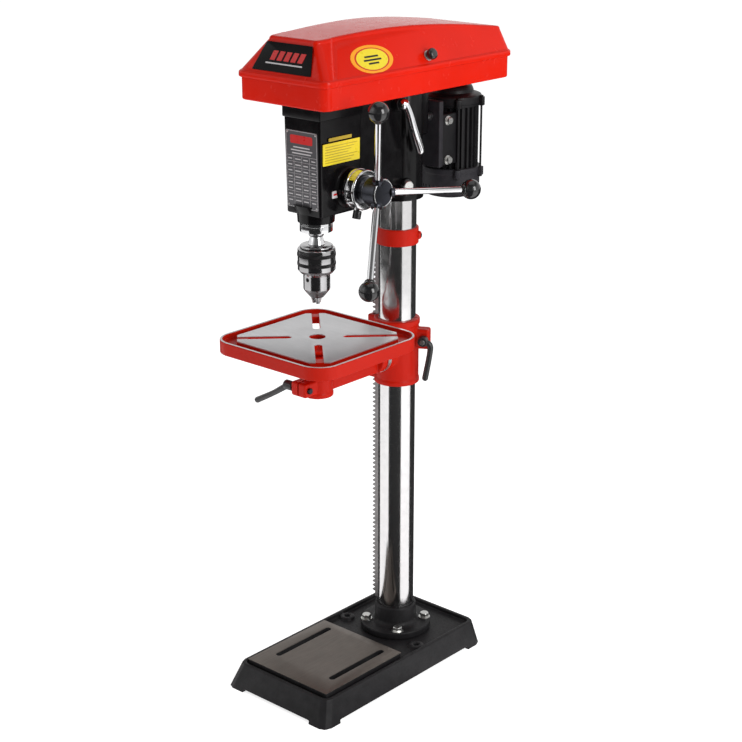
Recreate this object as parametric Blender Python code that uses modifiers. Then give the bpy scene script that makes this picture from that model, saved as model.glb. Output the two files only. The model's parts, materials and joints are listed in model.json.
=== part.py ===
"""Floor-standing drill press with a belt drive, rack-lifted table and three-lever feed.

Frame: metres, +Z up, origin on the column's axis at floor level.
The operator stands at -Y, the motor is at +Y and the feed levers are at +X.
"""
from math import asin, cos, hypot, pi, radians, sin, sqrt

import bmesh
import bpy
from mathutils import Matrix, Vector

COLLECTION_NAME = "drill_press"
GAP = 0.0003  # left between pieces that touch
RUNNING = 0.0004  # radial clearance of shafts, bars and pins

# Column and throat
COLUMN_RADIUS = 0.0365
COLUMN_WALL = 0.004
COLUMN_TOP = 1.060
THROAT = 0.226  # column axis to spindle axis

# Base
BASE_BOTTOM = (-0.134, -0.358, 0.134, 0.121)  # x, y low and x, y high at the floor
BASE_TOP = (-0.119, -0.337, 0.119, 0.115)
BASE_HEIGHT = 0.050
SKIRT_HEIGHT = 0.008
FOOT_NOTCH = 0.006
DECK_HEIGHT = 0.042
DECK_UNDERSIDE = 0.032
PAD_BOX = (-0.105, -0.324, 0.105, -0.104)
PAD_HEIGHT = 0.056
PAD_SLOT_X = 0.072
PAD_SLOT_ENDS = (-0.277, -0.122)
PAD_SLOT_WIDTH = 0.013
FLOOR_BOLT_HOLES = ((-0.094, -0.045), (0.094, -0.045))

# Column flange
FLANGE_RADIUS = 0.072
FLANGE_TOP = 0.058
FLANGE_HUB_RADIUS = 0.042
FLANGE_HUB_TOP = 0.098
FLANGE_BOLT_CIRCLE = 0.060

# Rack and its collar
RACK_ANGLE = radians(186)  # direction of the rack from the column's axis
RACK_MODULE = 0.003
RACK_BACK = COLUMN_RADIUS + GAP
RACK_TIP = 0.052
RACK_WIDTH = 0.018
RACK_BOTTOM = 0.0985
RACK_TOP = 0.8615
COLLAR_RADIUS = 0.041
COLLAR_TOP = 0.894
LIFT_GEAR_TEETH = 10
LIFT_GEAR_HEIGHT = 0.640
LIFT_WORM_DROP = 0.0245

# Table bracket, arm and table
BRACKET_RADIUS = 0.043
BRACKET_BOTTOM = 0.581
BRACKET_TOP = 0.712
TILT_HEIGHT = 0.645
TILT_FACE = -0.062
TILT_RADIUS = 0.031
CLAMP_ANGLE = radians(30)
CLAMP_HEIGHT = 0.672
TABLE_TOP = 0.725
TABLE_HALF = 0.141
TABLE_CORNER = 0.045
TABLE_SKIRT = 0.025
TABLE_RIM = 0.0055
TABLE_POST_RADIUS = 0.0205
TABLE_HOLE_RADIUS = 0.015
ARM_RING_RADIUS = 0.028
ARM_RING_BOTTOM = 0.611
TABLE_LOCK_Y = -0.270
TABLE_LOCK_HEIGHT = 0.634

# Head
HEAD_FRONT = -0.262
HEAD_HALF_WIDTH = 0.044
HEAD_BOTTOM = 0.962
HEAD_TOP = 1.1657
SOCKET_RADIUS = 0.047
SOCKET_BOTTOM = 0.952
QUILL_BOSS_RADIUS = 0.0335
QUILL_BOSS_BOTTOM = 0.945

# Switch box on the head's left side
SWITCH_BOX_DEPTH = 0.032
BUTTON_Y = -0.185
BUTTON_HEIGHTS = (1.082, 1.118)

# Quill, spindle and chuck, from the bottom of the quill up and down
QUILL_RADIUS = 0.030
QUILL_BOTTOM = 0.928
QUILL_TOP = 1.085
SPINDLE_RADIUS = 0.012
SPINDLE_TOP_RADIUS = 0.0085
SPINDLE_TOP = 1.240
SPINDLE_NOSE_BOTTOM = 0.918
CHUCK_TOP = 0.903
SLEEVE_RADIUS = 0.0355
SLEEVE_BOTTOM = 0.845
CHUCK_BODY_RADIUS = 0.0248
CHUCK_NOSE = 0.802
JAW_TIP = 0.791
JAW_RADIUS = 0.0038
JAW_LEAN = radians(15)
JAW_TIP_OFFSET = 0.0046
JAW_LENGTH = 0.042

# Feed: pinion shaft across the head, hub and three levers
FEED_MODULE = 0.002
FEED_TEETH = 14
FEED_PITCH_RADIUS = FEED_MODULE * FEED_TEETH / 2
QUILL_RACK_PITCH = 0.027  # quill axis to the pitch plane of the rack in its back
FEED_Y = -THROAT + QUILL_RACK_PITCH + FEED_PITCH_RADIUS
FEED_HEIGHT = 1.008
FEED_BOSS_RADIUS = 0.033
FEED_BOSS_END = 0.060
RING_RADIUS = 0.037
RING_END = 0.086
HUB_RADIUS = 0.027
HUB_END = 0.127
LEVER_ROOT_X = 0.112
LEVER_REACH = 0.179
LEVER_SPREAD = 0.070  # how far a lever's knob stands outboard of its root
LEVER_ANGLES = tuple(radians(a) for a in (115.5, 235.5, 355.5))  # from +Y towards +Z
LEVER_RADIUS = 0.006
KNOB_RADIUS = 0.0185

# Belt cover
COVER_HALF_WIDTH = 0.106
COVER_FRONT = -0.312
COVER_BACK = 0.207
COVER_CORNER = 0.018
COVER_SHEET = 0.0025
PAN_BOTTOM = 1.166
LID_BOTTOM = 1.206
LID_BAND = 0.012
LID_FLANGE = 0.004
HINGE_LINE = (-COVER_HALF_WIDTH - LID_FLANGE - 0.001, LID_BOTTOM - 0.006)  # x and z

# Pulleys: three steps, listed from the bottom
STEP_HEIGHT = 0.018
PULLEY_BOTTOM = 1.178
SPINDLE_STEPS = (0.035, 0.048, 0.060)
IDLER_STEPS = (0.062, 0.050, 0.038)
MOTOR_STEPS = (0.022, 0.030, 0.037)
GROOVE_DEPTH = 0.007
BELT_DEPTH = 0.0055
IDLER_Y = -0.035
BELT_RIDE = -0.0002  # belt's back edge against the pulley's rim
FRONT_BELT_STEP = 1
REAR_BELT_STEP = 0

# Motor and its carriage
MOTOR_Y = 0.158
MOTOR_RADIUS = 0.054
MOTOR_BELL_RADIUS = 0.059
PLATE_BACK = 0.074
PLATE_FRONT = 0.062
SLIDE_BAR_X = 0.026
SLIDE_BAR_HEIGHT = 1.100
SLIDE_BAR_RADIUS = 0.008
TENSION_PIVOT = (0.060, -0.047, 1.140)

RED = (0.62, 0.035, 0.025)
BLACK = (0.018, 0.018, 0.020)
STEEL = (0.60, 0.60, 0.61)
DARK_STEEL = (0.16, 0.16, 0.17)
RUBBER = (0.02, 0.02, 0.02)


# ---------------------------------------------------------------- tools

def clear_scene():
    for found in list(bpy.data.objects):
        bpy.data.objects.remove(found)


def new_collection(name):
    made = bpy.data.collections.new(name)
    bpy.context.scene.collection.children.link(made)
    return made


def paint(name, colour, roughness, metallic=0.0):
    made = bpy.data.materials.new(name)
    made.use_nodes = True
    shader = made.node_tree.nodes["Principled BSDF"]
    shader.inputs["Base Color"].default_value = (*colour, 1)
    shader.inputs["Roughness"].default_value = roughness
    shader.inputs["Metallic"].default_value = metallic
    return made


def along(origin, direction):
    """A placement whose Z axis runs along direction."""
    return Matrix.Translation(origin) @ Vector(direction).to_track_quat("Z", "Y").to_matrix().to_4x4()


def axes(origin, x_axis, y_axis):
    """A placement with the given X and Y axes."""
    x_axis = Vector(x_axis).normalized()
    y_axis = Vector(y_axis).normalized()
    turn = Matrix((x_axis, y_axis, x_axis.cross(y_axis))).transposed()
    return Matrix.Translation(origin) @ turn.to_4x4()


def solid(mesh_source, name, place=None):
    """A cutter-collection object from a bmesh, with its placement applied to the mesh."""
    mesh = bpy.data.meshes.new(name)
    if place is not None:
        mesh_source.transform(place)
    mesh_source.to_mesh(mesh)
    mesh_source.free()
    made = bpy.data.objects.new(name, mesh)
    CUTTERS.objects.link(made)
    made.hide_render = True
    made.display_type = "WIRE"
    return made


def rod(start, end, radius, end_radius=None, sides=20, name="rod"):
    """A cylinder or a cone between two points."""
    start, end = Vector(start), Vector(end)
    form = bmesh.new()
    bmesh.ops.create_cone(
        form, cap_ends=True, segments=sides, radius1=radius,
        radius2=radius if end_radius is None else end_radius, depth=(end - start).length)
    return solid(form, name, along((start + end) / 2, end - start))


def block(low, high, bevel=0.0, upright_only=True, name="block"):
    """A box from its low to its high corner, with its edges rounded by bevel."""
    return tapered(low[:2] + high[:2], low[:2] + high[:2], low[2], high[2], bevel, upright_only, name)


def tapered(bottom, top, z_low, z_high, bevel=0.0, upright_only=True, name="tapered"):
    """A box whose bottom and top rectangles (x, y low, x, y high) differ."""
    form = bmesh.new()
    bmesh.ops.create_cube(form, size=1.0)
    for corner in form.verts:
        rect = top if corner.co.z > 0 else bottom
        x = rect[2] if corner.co.x > 0 else rect[0]
        y = rect[3] if corner.co.y > 0 else rect[1]
        corner.co = (x, y, z_high if corner.co.z > 0 else z_low)
    if bevel:
        def chosen(edge):
            return not upright_only or abs(edge.verts[0].co.z - edge.verts[1].co.z) > 1e-6
        bmesh.ops.bevel(form, geom=[e for e in form.edges if chosen(e)], offset=bevel,
                        segments=2, profile=0.5, affect="EDGES")
    return solid(form, name)


def turned(profile, place, sides=24, name="turned"):
    """A profile of (radius, height) points turned about the placement's Z axis.

    The outer side is listed from the top down. A profile that starts and ends on
    the axis closes there; any other is closed into a ring.
    """
    on_axis = profile[0][0] == 0 and profile[-1][0] == 0
    form = bmesh.new()
    points = [form.verts.new((radius, 0, height)) for radius, height in profile]
    for first, second in zip(points, points[1:]):
        form.edges.new((first, second))
    if not on_axis:
        form.edges.new((points[-1], points[0]))
    made = solid(form, name)
    made.matrix_world = place
    screw = made.modifiers.new("turn", "SCREW")
    screw.steps = sides
    screw.render_steps = sides
    screw.use_merge_vertices = True
    screw.merge_threshold = 0.00001
    screw.use_normal_calculate = False
    return baked(made)


def baked(made):
    """The object with its modifiers and placement applied to its mesh."""
    graph = bpy.context.evaluated_depsgraph_get()
    mesh = bpy.data.meshes.new_from_object(made.evaluated_get(graph))
    mesh.transform(made.matrix_world)
    made.modifiers.clear()
    made.data = mesh
    made.matrix_world = Matrix.Identity(4)
    return made


def slab(outline, thickness, place, name="slab"):
    """A flat outline given thickness, half to each side of the placement's XY plane."""
    form = bmesh.new()
    face = form.faces.new([form.verts.new((x, y, -thickness / 2)) for x, y in outline])
    grown = bmesh.ops.extrude_face_region(form, geom=[face])["geom"]
    raised = [item for item in grown if isinstance(item, bmesh.types.BMVert)]
    bmesh.ops.translate(form, verts=raised, vec=(0, 0, thickness))
    bmesh.ops.recalc_face_normals(form, faces=form.faces)
    return solid(form, name, place)


def pipe(points, radius, name="pipe", resolution=2):
    """A round bar along points."""
    curve = bpy.data.curves.new(name, "CURVE")
    curve.dimensions = "3D"
    curve.bevel_depth = radius
    curve.bevel_resolution = resolution
    curve.use_fill_caps = True
    spline = curve.splines.new("POLY")
    spline.points.add(len(points) - 1)
    for point, place in zip(spline.points, points):
        point.co = (*place, 1)
    return welded(curve, name)


def welded(curve, name):
    """A curve made into one closed mesh."""
    guide = bpy.data.objects.new(name, curve)
    CUTTERS.objects.link(guide)
    graph = bpy.context.evaluated_depsgraph_get()
    mesh = bpy.data.meshes.new_from_object(guide.evaluated_get(graph))
    form = bmesh.new()
    form.from_mesh(mesh)
    bpy.data.objects.remove(guide)
    bmesh.ops.remove_doubles(form, verts=form.verts, dist=0.00001)
    bmesh.ops.recalc_face_normals(form, faces=form.faces)
    return solid(form, name)


def combine(target, others, operation):
    for other in others:
        step = target.modifiers.new(operation.lower(), "BOOLEAN")
        step.operation = operation
        step.solver = "EXACT"
        step.object = other
    return target


def join(target, *others):
    return combine(target, others, "UNION")


def cut(target, *others):
    return combine(target, others, "DIFFERENCE")


def part(made, name, material, carrier=None):
    """Turn a shape into a named part, carried by the empty on its joint's axis."""
    made.name = name
    made.data.name = name
    CUTTERS.objects.unlink(made)
    PARTS.objects.link(made)
    made.hide_render = False
    made.display_type = "TEXTURED"
    made.data.materials.clear()
    made.data.materials.append(material)
    made.data.shade_smooth()
    made.data.set_sharp_from_angle(angle=radians(35))
    if carrier is not None:
        made.parent = carrier
        made.matrix_parent_inverse = Matrix.Translation(-carrier_place(carrier))
    return made


def carrier_place(carrier):
    place = Vector(carrier.location)
    while carrier.parent is not None:
        carrier = carrier.parent
        place += Vector(carrier.location)
    return place


def joint_axis(name, place, carrier=None):
    """An empty on a joint's axis, which the moving pieces have as their parent."""
    made = bpy.data.objects.new(name, None)
    made.empty_display_size = 0.03
    PARTS.objects.link(made)
    made.location = Vector(place)
    if carrier is not None:
        made.location = Vector(place) - carrier_place(carrier)
        made.parent = carrier
    return made


def arc(centre, radius, start, end, steps):
    """Points along an arc, both ends included."""
    turns = [start + (end - start) * i / steps for i in range(steps + 1)]
    return [(centre[0] + radius * cos(t), centre[1] + radius * sin(t)) for t in turns]


def rounded_rectangle(low, high, corner, steps=4):
    (x0, y0), (x1, y1) = low, high
    centres = ((x1 - corner, y1 - corner), (x0 + corner, y1 - corner),
               (x0 + corner, y0 + corner), (x1 - corner, y0 + corner))
    outline = []
    for quarter, centre in enumerate(centres):
        outline += arc(centre, corner, quarter * pi / 2, (quarter + 1) * pi / 2, steps)
    return outline


def gear_outline(teeth, module, slack=0.55):
    """A spur gear's outline with straight-sided teeth; slack thins the teeth."""
    pitch, tip, root = teeth * module / 2, (teeth / 2 + 0.9) * module, (teeth / 2 - 1.1) * module
    step = 2 * pi / teeth
    half_tip = 0.20 * step * slack * pitch / tip
    half_root = 0.62 * step * slack
    outline = []
    for tooth in range(teeth):
        middle = tooth * step
        for radius, turn in ((root, -half_root), (tip, -half_tip), (tip, half_tip), (root, half_root)):
            outline.append((radius * cos(middle + turn), radius * sin(middle + turn)))
    return outline


def rack_outline(length, module, back, teeth_root, teeth_tip):
    """A rack's side view: X is out of its back, Y is along it, from 0 to length."""
    pitch = pi * module
    outline = [(back, length), (back, 0.0), (teeth_root, 0.0)]
    count = int((length - pitch) / pitch)
    margin = (length - count * pitch) / 2
    for tooth in range(count):
        start = margin + tooth * pitch
        outline += [(teeth_root, start + 0.22 * pitch), (teeth_tip, start + 0.38 * pitch),
                    (teeth_tip, start + 0.62 * pitch), (teeth_root, start + 0.78 * pitch)]
    outline.append((teeth_root, length))
    return outline


def rack_tooth_centre(length, module, near):
    """The height of the rack's tooth that is closest to near."""
    pitch = pi * module
    count = int((length - pitch) / pitch)
    margin = (length - count * pitch) / 2
    tooth = round((near - margin) / pitch - 0.5)
    return margin + (tooth + 0.5) * pitch


def outward(radius, angle, height):
    """A point at radius from the column's axis in the direction angle."""
    return Vector((radius * cos(angle), radius * sin(angle), height))


def radial_block(angle, r_low, r_high, half_width, z_low, z_high):
    """A box that points away from the column in the direction angle."""
    outline = [(r_low, -half_width), (r_high, -half_width), (r_high, half_width), (r_low, half_width)]
    direction = Vector((cos(angle), sin(angle), 0))
    side = Vector((-sin(angle), cos(angle), 0))
    return slab(outline, z_high - z_low, axes((0, 0, (z_low + z_high) / 2), direction, side))


def hexagon(across_flats, centre_z, height, place):
    """A bolt head: a hexagonal prism on the placement's Z axis."""
    reach = across_flats / sqrt(3)
    outline = [(reach * cos(i * pi / 3), reach * sin(i * pi / 3)) for i in range(6)]
    return slab(outline, height, place @ Matrix.Translation((0, 0, centre_z)))


# ---------------------------------------------------------------- base and column

def base_casting():
    low, high = BASE_BOTTOM, BASE_TOP
    body = tapered(low, high, 0.0, BASE_HEIGHT, 0.016)
    recess = block((high[0] + 0.008, high[1] + 0.008, DECK_HEIGHT),
                   (high[2] - 0.008, high[3] - 0.008, BASE_HEIGHT + 0.01), 0.010)
    pad = block(PAD_BOX[:2] + (DECK_UNDERSIDE + 0.002,), PAD_BOX[2:] + (PAD_HEIGHT,))
    wall = 0.010
    pockets = []
    for side in (-1, 1):
        for y_low, y_high in ((low[1] + wall, -0.005), (0.005, low[3] - wall)):
            x_near, x_far = side * 0.005, side * (low[2] - wall)
            x_top = side * (high[2] - wall)
            bottom = (min(x_near, x_far), y_low, max(x_near, x_far), y_high)
            shrink = 0.018 if y_low < -0.1 else 0.0
            back = 0.006 if y_low > -0.1 else 0.0
            top = (min(x_near, x_top), y_low + shrink, max(x_near, x_top), y_high - back)
            pockets.append(tapered(bottom, top, -0.001, DECK_UNDERSIDE))
    slots = []
    for side in (-1, 1):
        x_low = side * PAD_SLOT_X - PAD_SLOT_WIDTH / 2
        slots.append(block((x_low, PAD_SLOT_ENDS[0], DECK_UNDERSIDE - 0.01),
                           (x_low + PAD_SLOT_WIDTH, PAD_SLOT_ENDS[1], PAD_HEIGHT + 0.01), 0.006))
    bosses = [rod((x, y, DECK_UNDERSIDE + 0.002), (x, y, DECK_HEIGHT + 0.005), 0.013, sides=12)
              for x, y in FLOOR_BOLT_HOLES]
    holes = [rod((x, y, DECK_UNDERSIDE - 0.01), (x, y, BASE_HEIGHT + 0.01), 0.006, sides=12)
             for x, y in FLOOR_BOLT_HOLES]
    holes += [rod((x, y, DECK_UNDERSIDE - 0.01), (x, y, BASE_HEIGHT + 0.01), 0.0053, sides=12)
              for x, y in flange_bolt_places()]
    foot, reach = 0.045, 0.015
    notches = [block((low[0] + foot, y - reach, -0.01), (low[2] - foot, y + reach, FOOT_NOTCH))
               for y in (low[1], low[3])]
    notches += [block((x - reach, low[1] + foot, -0.01), (x + reach, low[3] - foot, FOOT_NOTCH))
                for x in (low[0], low[2])]
    cut(body, recess)
    join(body, pad, *bosses)
    cut(body, *pockets, *slots, *holes, *notches)
    return part(body, "base_casting", BLACK_IRON)


def flange_bolt_places():
    reach = FLANGE_BOLT_CIRCLE / sqrt(2)
    return [(x * reach, y * reach) for x, y in ((-1, -1), (1, -1), (1, 1), (-1, 1))]


def column_flange():
    bore = COLUMN_RADIUS + GAP
    profile = [(bore, FLANGE_HUB_TOP), (FLANGE_HUB_RADIUS - 0.002, FLANGE_HUB_TOP),
               (FLANGE_HUB_RADIUS, FLANGE_HUB_TOP - 0.002), (FLANGE_HUB_RADIUS, FLANGE_TOP + 0.004),
               (FLANGE_HUB_RADIUS + 0.004, FLANGE_TOP), (FLANGE_RADIUS - 0.0015, FLANGE_TOP),
               (FLANGE_RADIUS, FLANGE_TOP - 0.0015), (FLANGE_RADIUS, DECK_HEIGHT + GAP),
               (bore, DECK_HEIGHT + GAP)]
    flange = turned(profile, Matrix.Identity(4), 28)
    for x, y in flange_bolt_places():
        cut(flange, rod((x, y, DECK_HEIGHT - 0.01), (x, y, FLANGE_TOP + 0.01), 0.0053, sides=12))
    part(flange, "column_flange", BLACK_IRON)
    for number, (x, y) in enumerate(flange_bolt_places(), 1):
        shank = rod((x, y, DECK_UNDERSIDE - 0.002), (x, y, FLANGE_TOP + 0.003), 0.005, sides=12)
        join(shank, hexagon(0.017, 0.0, 0.0085, along((x, y, FLANGE_TOP + GAP + 0.00425), (0, 0, 1))))
        part(shank, f"flange_bolt_{number}", PLAIN_STEEL)


def column_tube():
    inner, foot = COLUMN_RADIUS - COLUMN_WALL, DECK_HEIGHT + GAP
    profile = [(inner, COLUMN_TOP), (COLUMN_RADIUS, COLUMN_TOP), (COLUMN_RADIUS, foot), (inner, foot)]
    return part(turned(profile, Matrix.Identity(4), 28), "column", CHROME)


def rack_collar():
    bore, foot = COLUMN_RADIUS + GAP, RACK_TOP + GAP
    profile = [(bore, COLLAR_TOP), (COLLAR_RADIUS, COLLAR_TOP), (COLLAR_RADIUS, foot), (bore, foot)]
    ring = turned(profile, Matrix.Identity(4), 28)
    middle = (foot + COLLAR_TOP) / 2
    lug = rod(outward(0.038, CLAMP_ANGLE, middle), outward(0.046, CLAMP_ANGLE, middle), 0.008, sides=12)
    screw_hole = rod(outward(0.030, CLAMP_ANGLE, middle), outward(0.050, CLAMP_ANGLE, middle), 0.0035,
                     sides=8)
    cut(join(ring, lug), screw_hole)
    return part(ring, "rack_collar", RED_PAINT)


# ---------------------------------------------------------------- rack and table lift

def column_rack(swing):
    length = RACK_TOP - RACK_BOTTOM
    outline = rack_outline(length, RACK_MODULE, RACK_BACK, RACK_TIP - 2.1 * RACK_MODULE, RACK_TIP)
    direction = Vector((cos(RACK_ANGLE), sin(RACK_ANGLE), 0))
    rack = slab(outline, RACK_WIDTH, axes((0, 0, RACK_BOTTOM), direction, (0, 0, 1)))
    return part(rack, "column_rack", PLAIN_STEEL, swing)


def lift_gear_centre():
    pitch_radius = RACK_MODULE * LIFT_GEAR_TEETH / 2
    height = RACK_BOTTOM + rack_tooth_centre(RACK_TOP - RACK_BOTTOM, RACK_MODULE,
                                             LIFT_GEAR_HEIGHT - RACK_BOTTOM)
    return outward(RACK_TIP - RACK_MODULE + pitch_radius, RACK_ANGLE, height)


def lift_gear(lift):
    centre = lift_gear_centre()
    direction = Vector((cos(RACK_ANGLE), sin(RACK_ANGLE), 0))
    turn_axis = joint_axis("lift_gear_axis", centre, lift)
    half_tooth = pi / LIFT_GEAR_TEETH
    place = axes(centre, direction, (0, 0, 1)) @ Matrix.Rotation(half_tooth, 4, "Z")
    gear = slab(gear_outline(LIFT_GEAR_TEETH, RACK_MODULE), 0.014, place)
    side = direction.cross(Vector((0, 0, 1)))
    join(gear, rod(centre - side * 0.0195, centre + side * 0.0195, 0.005, sides=12))
    return part(gear, "lift_gear", PLAIN_STEEL, turn_axis)


def lift_crank(lift):
    height = lift_gear_centre().z - LIFT_WORM_DROP
    inner, outer, throw = 0.052, 0.150, 0.055
    turn_axis = joint_axis("crank_axis", outward(outer, RACK_ANGLE, height), lift)
    worm = rod(outward(inner, RACK_ANGLE, height), outward(outer, RACK_ANGLE, height), 0.0062, sides=12)
    part(worm, "lift_worm", PLAIN_STEEL, turn_axis)
    arm = radial_block(RACK_ANGLE, outer + GAP, outer + 0.009, 0.009, height - 0.012, height + throw + 0.010)
    pin = rod(outward(outer + 0.008, RACK_ANGLE, height + throw),
              outward(outer + 0.030, RACK_ANGLE, height + throw), 0.004, sides=12)
    part(join(arm, pin), "lift_crank", BLACK_IRON, turn_axis)
    grip_axis = joint_axis("grip_axis", outward(outer + 0.012, RACK_ANGLE, height + throw), turn_axis)
    top = 0.025
    profile = [(0, top), (0.007, top), (0.0095, top - 0.005), (0.008, 0.002), (0.0075, 0.0),
               (0.0044, 0.0), (0.0044, 0.020), (0, 0.020)]
    grip = turned(profile, along(outward(outer + 0.011, RACK_ANGLE, height + throw),
                                 (cos(RACK_ANGLE), sin(RACK_ANGLE), 0)), 14)
    return part(grip, "crank_grip", BLACK_PLASTIC, grip_axis)


def table_bracket(lift):
    bore = COLUMN_RADIUS + GAP
    low, high, gear = BRACKET_BOTTOM, BRACKET_TOP, lift_gear_centre()
    sleeve = rod((0, 0, low), (0, 0, high), BRACKET_RADIUS, sides=28)
    guide = radial_block(RACK_ANGLE, 0.030, 0.060, 0.016, low, high)
    housing = radial_block(RACK_ANGLE, 0.050, 0.092, 0.020, low + 0.006, gear.z + 0.024)
    tilt_boss = rod((0, -0.028, TILT_HEIGHT), (0, TILT_FACE, TILT_HEIGHT), TILT_RADIUS, sides=24)
    ears = radial_block(CLAMP_ANGLE, 0.036, 0.066, 0.014, CLAMP_HEIGHT - 0.020, CLAMP_HEIGHT + 0.020)
    join(sleeve, guide, housing, tilt_boss, ears)
    side = Vector((-sin(RACK_ANGLE), cos(RACK_ANGLE), 0))
    worm_height = gear.z - LIFT_WORM_DROP
    cut(sleeve,
        rod((0, 0, low - 0.01), (0, 0, high + 0.01), bore, sides=28),
        radial_block(RACK_ANGLE, 0.0, RACK_TIP + 0.0006, RACK_WIDTH / 2 + 0.0006, low - 0.01, high + 0.01),
        rod(gear - side * 0.0080, gear + side * 0.0080, 0.0182, sides=16),
        rod(gear - side * 0.030, gear + side * 0.030, 0.0053, sides=12),
        rod(outward(0.045, RACK_ANGLE, worm_height), outward(0.100, RACK_ANGLE, worm_height), 0.0066,
            sides=12),
        radial_block(CLAMP_ANGLE, 0.020, 0.080, 0.0015, low - 0.01, high + 0.01))
    clamp_side = Vector((-sin(CLAMP_ANGLE), cos(CLAMP_ANGLE), 0))
    clamp_hole = outward(0.056, CLAMP_ANGLE, CLAMP_HEIGHT)
    cut(sleeve,
        rod(clamp_hole - clamp_side * 0.03, clamp_hole + clamp_side * 0.03, 0.0054, sides=12),
        rod((0, -0.044, TILT_HEIGHT), (0, TILT_FACE - 0.01, TILT_HEIGHT), 0.0074, sides=12))
    return part(sleeve, "table_bracket", RED_PAINT, lift)


def bracket_lock(lift):
    """The column clamp's bolt and hanging lever, turned about the bolt's axis."""
    side = Vector((-sin(CLAMP_ANGLE), cos(CLAMP_ANGLE), 0))
    centre = outward(0.056, CLAMP_ANGLE, CLAMP_HEIGHT)
    turn_axis = joint_axis("bracket_lock_axis", centre, lift)
    bolt = rod(centre + side * 0.020, centre - side * 0.030, 0.0050, sides=12)
    hub = rod(centre - side * 0.0145, centre - side * 0.032, 0.0095, sides=12)
    grip_start = centre - side * 0.0235
    reach = outward(0.010, CLAMP_ANGLE, 0.0)
    handle = pipe([grip_start, grip_start + reach * 0.8 + Vector((0, 0, -0.022)),
                   grip_start + reach + Vector((0, 0, -0.075))], 0.0055)
    part(join(bolt, hub, handle), "bracket_lock_lever", BLACK_PLASTIC, turn_axis)


def table_arm(tilt):
    """Tilting arm: a disc against the bracket, a beam and a split ring for the table's post."""
    disc = rod((0, TILT_FACE - GAP, TILT_HEIGHT), (0, TILT_FACE - 0.013, TILT_HEIGHT), TILT_RADIUS, sides=24)
    beam = block((-0.016, -THROAT + 0.015, 0.617), (0.016, TILT_FACE - 0.008, 0.688), 0.003)
    ring = rod((0, -THROAT, ARM_RING_BOTTOM), (0, -THROAT, 0.694), ARM_RING_RADIUS, sides=24)
    ear = block((-0.019, TABLE_LOCK_Y - 0.010, TABLE_LOCK_HEIGHT - 0.014),
                (0.019, -THROAT - 0.018, TABLE_LOCK_HEIGHT + 0.014), 0.003)
    join(disc, beam, ring, ear)
    cut(disc,
        rod((0, -THROAT, 0.59), (0, -THROAT, 0.70), TABLE_POST_RADIUS + GAP, sides=24),
        block((-0.0015, TABLE_LOCK_Y - 0.02, 0.59), (0.0015, -THROAT, 0.70)),
        rod((-0.03, TABLE_LOCK_Y, TABLE_LOCK_HEIGHT), (0.03, TABLE_LOCK_Y, TABLE_LOCK_HEIGHT), 0.0044,
            sides=12),
        rod((0, TILT_FACE + 0.01, TILT_HEIGHT), (0, TILT_FACE - 0.02, TILT_HEIGHT), 0.0074, sides=12),
        block((-0.0135, TILT_FACE - 0.034, 0.600), (0.0135, TILT_FACE - 0.0135, TILT_HEIGHT + 0.0145)))
    return part(disc, "table_arm", RED_PAINT, tilt)


def tilt_bolt(lift):
    bolt = rod((0, -0.046, TILT_HEIGHT), (0, TILT_FACE - 0.016, TILT_HEIGHT), 0.0070, sides=12)
    head_place = along((0, TILT_FACE - 0.0140 - 0.005, TILT_HEIGHT), (0, -1, 0))
    join(bolt, hexagon(0.022, 0.0, 0.010, head_place))
    return part(bolt, "tilt_bolt", PLAIN_STEEL, lift)


def table(spin):
    outline = rounded_rectangle((-TABLE_HALF, -TABLE_HALF - THROAT), (TABLE_HALF, TABLE_HALF - THROAT),
                                TABLE_CORNER, 6)
    bottom = TABLE_TOP - TABLE_SKIRT
    plate = slab(outline, TABLE_SKIRT, Matrix.Translation((0, 0, (TABLE_TOP + bottom) / 2)))
    inner = TABLE_HALF - TABLE_RIM
    inside = rounded_rectangle((-inner, -inner - THROAT), (inner, inner - THROAT),
                               TABLE_CORNER - TABLE_RIM, 5)
    gutter = slab(inside, 0.012, Matrix.Translation((0, 0, TABLE_TOP)))
    half, chamfer = 0.118, 0.026
    square = []
    for x, y in ((1, 1), (-1, 1), (-1, -1), (1, -1)):
        ends = [(x * half, y * (half - chamfer)), (x * (half - chamfer), y * half)]
        square += ends if x * y > 0 else ends[::-1]
    square = [(x, y - THROAT) for x, y in square]
    face = slab(square, 0.010, Matrix.Translation((0, 0, TABLE_TOP - 0.005)))
    hollow = slab(inside, 0.020, Matrix.Translation((0, 0, bottom)))
    post = rod((0, -THROAT, 0.594), (0, -THROAT, bottom + 0.014), TABLE_POST_RADIUS, sides=24)
    slots = []
    for quarter in range(4):
        turn = Matrix.Rotation(pi / 4 + quarter * pi / 2, 4, "Z")
        place = Matrix.Translation((0, -THROAT, TABLE_TOP - 0.01)) @ turn
        slots.append(slab([(0.048, -0.007), (0.128, -0.007), (0.128, 0.007), (0.048, 0.007)], 0.05, place))
    hole = rod((0, -THROAT, 0.58), (0, -THROAT, TABLE_TOP + 0.01), TABLE_HOLE_RADIUS, sides=20)
    cut(plate, gutter, hollow)
    join(plate, face, post)
    cut(plate, hole, *slots)
    return part(plate, "table", TABLE_IRON, spin)


def table_lock(tilt):
    centre = (-0.030, TABLE_LOCK_Y, TABLE_LOCK_HEIGHT)
    turn_axis = joint_axis("table_lock_axis", centre, tilt)
    y, z = TABLE_LOCK_Y, TABLE_LOCK_HEIGHT
    bolt = rod((0.022, y, z), (-0.034, y, z), 0.004, sides=12)
    hub = rod((-0.0195, y, z), (-0.042, y, z), 0.009, sides=12)
    handle = pipe([(-0.034, y, z), (-0.052, y, z - 0.012), (-0.118, y, z - 0.050)], 0.0055)
    return part(join(bolt, hub, handle), "table_lock_lever", BLACK_PLASTIC, turn_axis)


# ---------------------------------------------------------------- head

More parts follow.
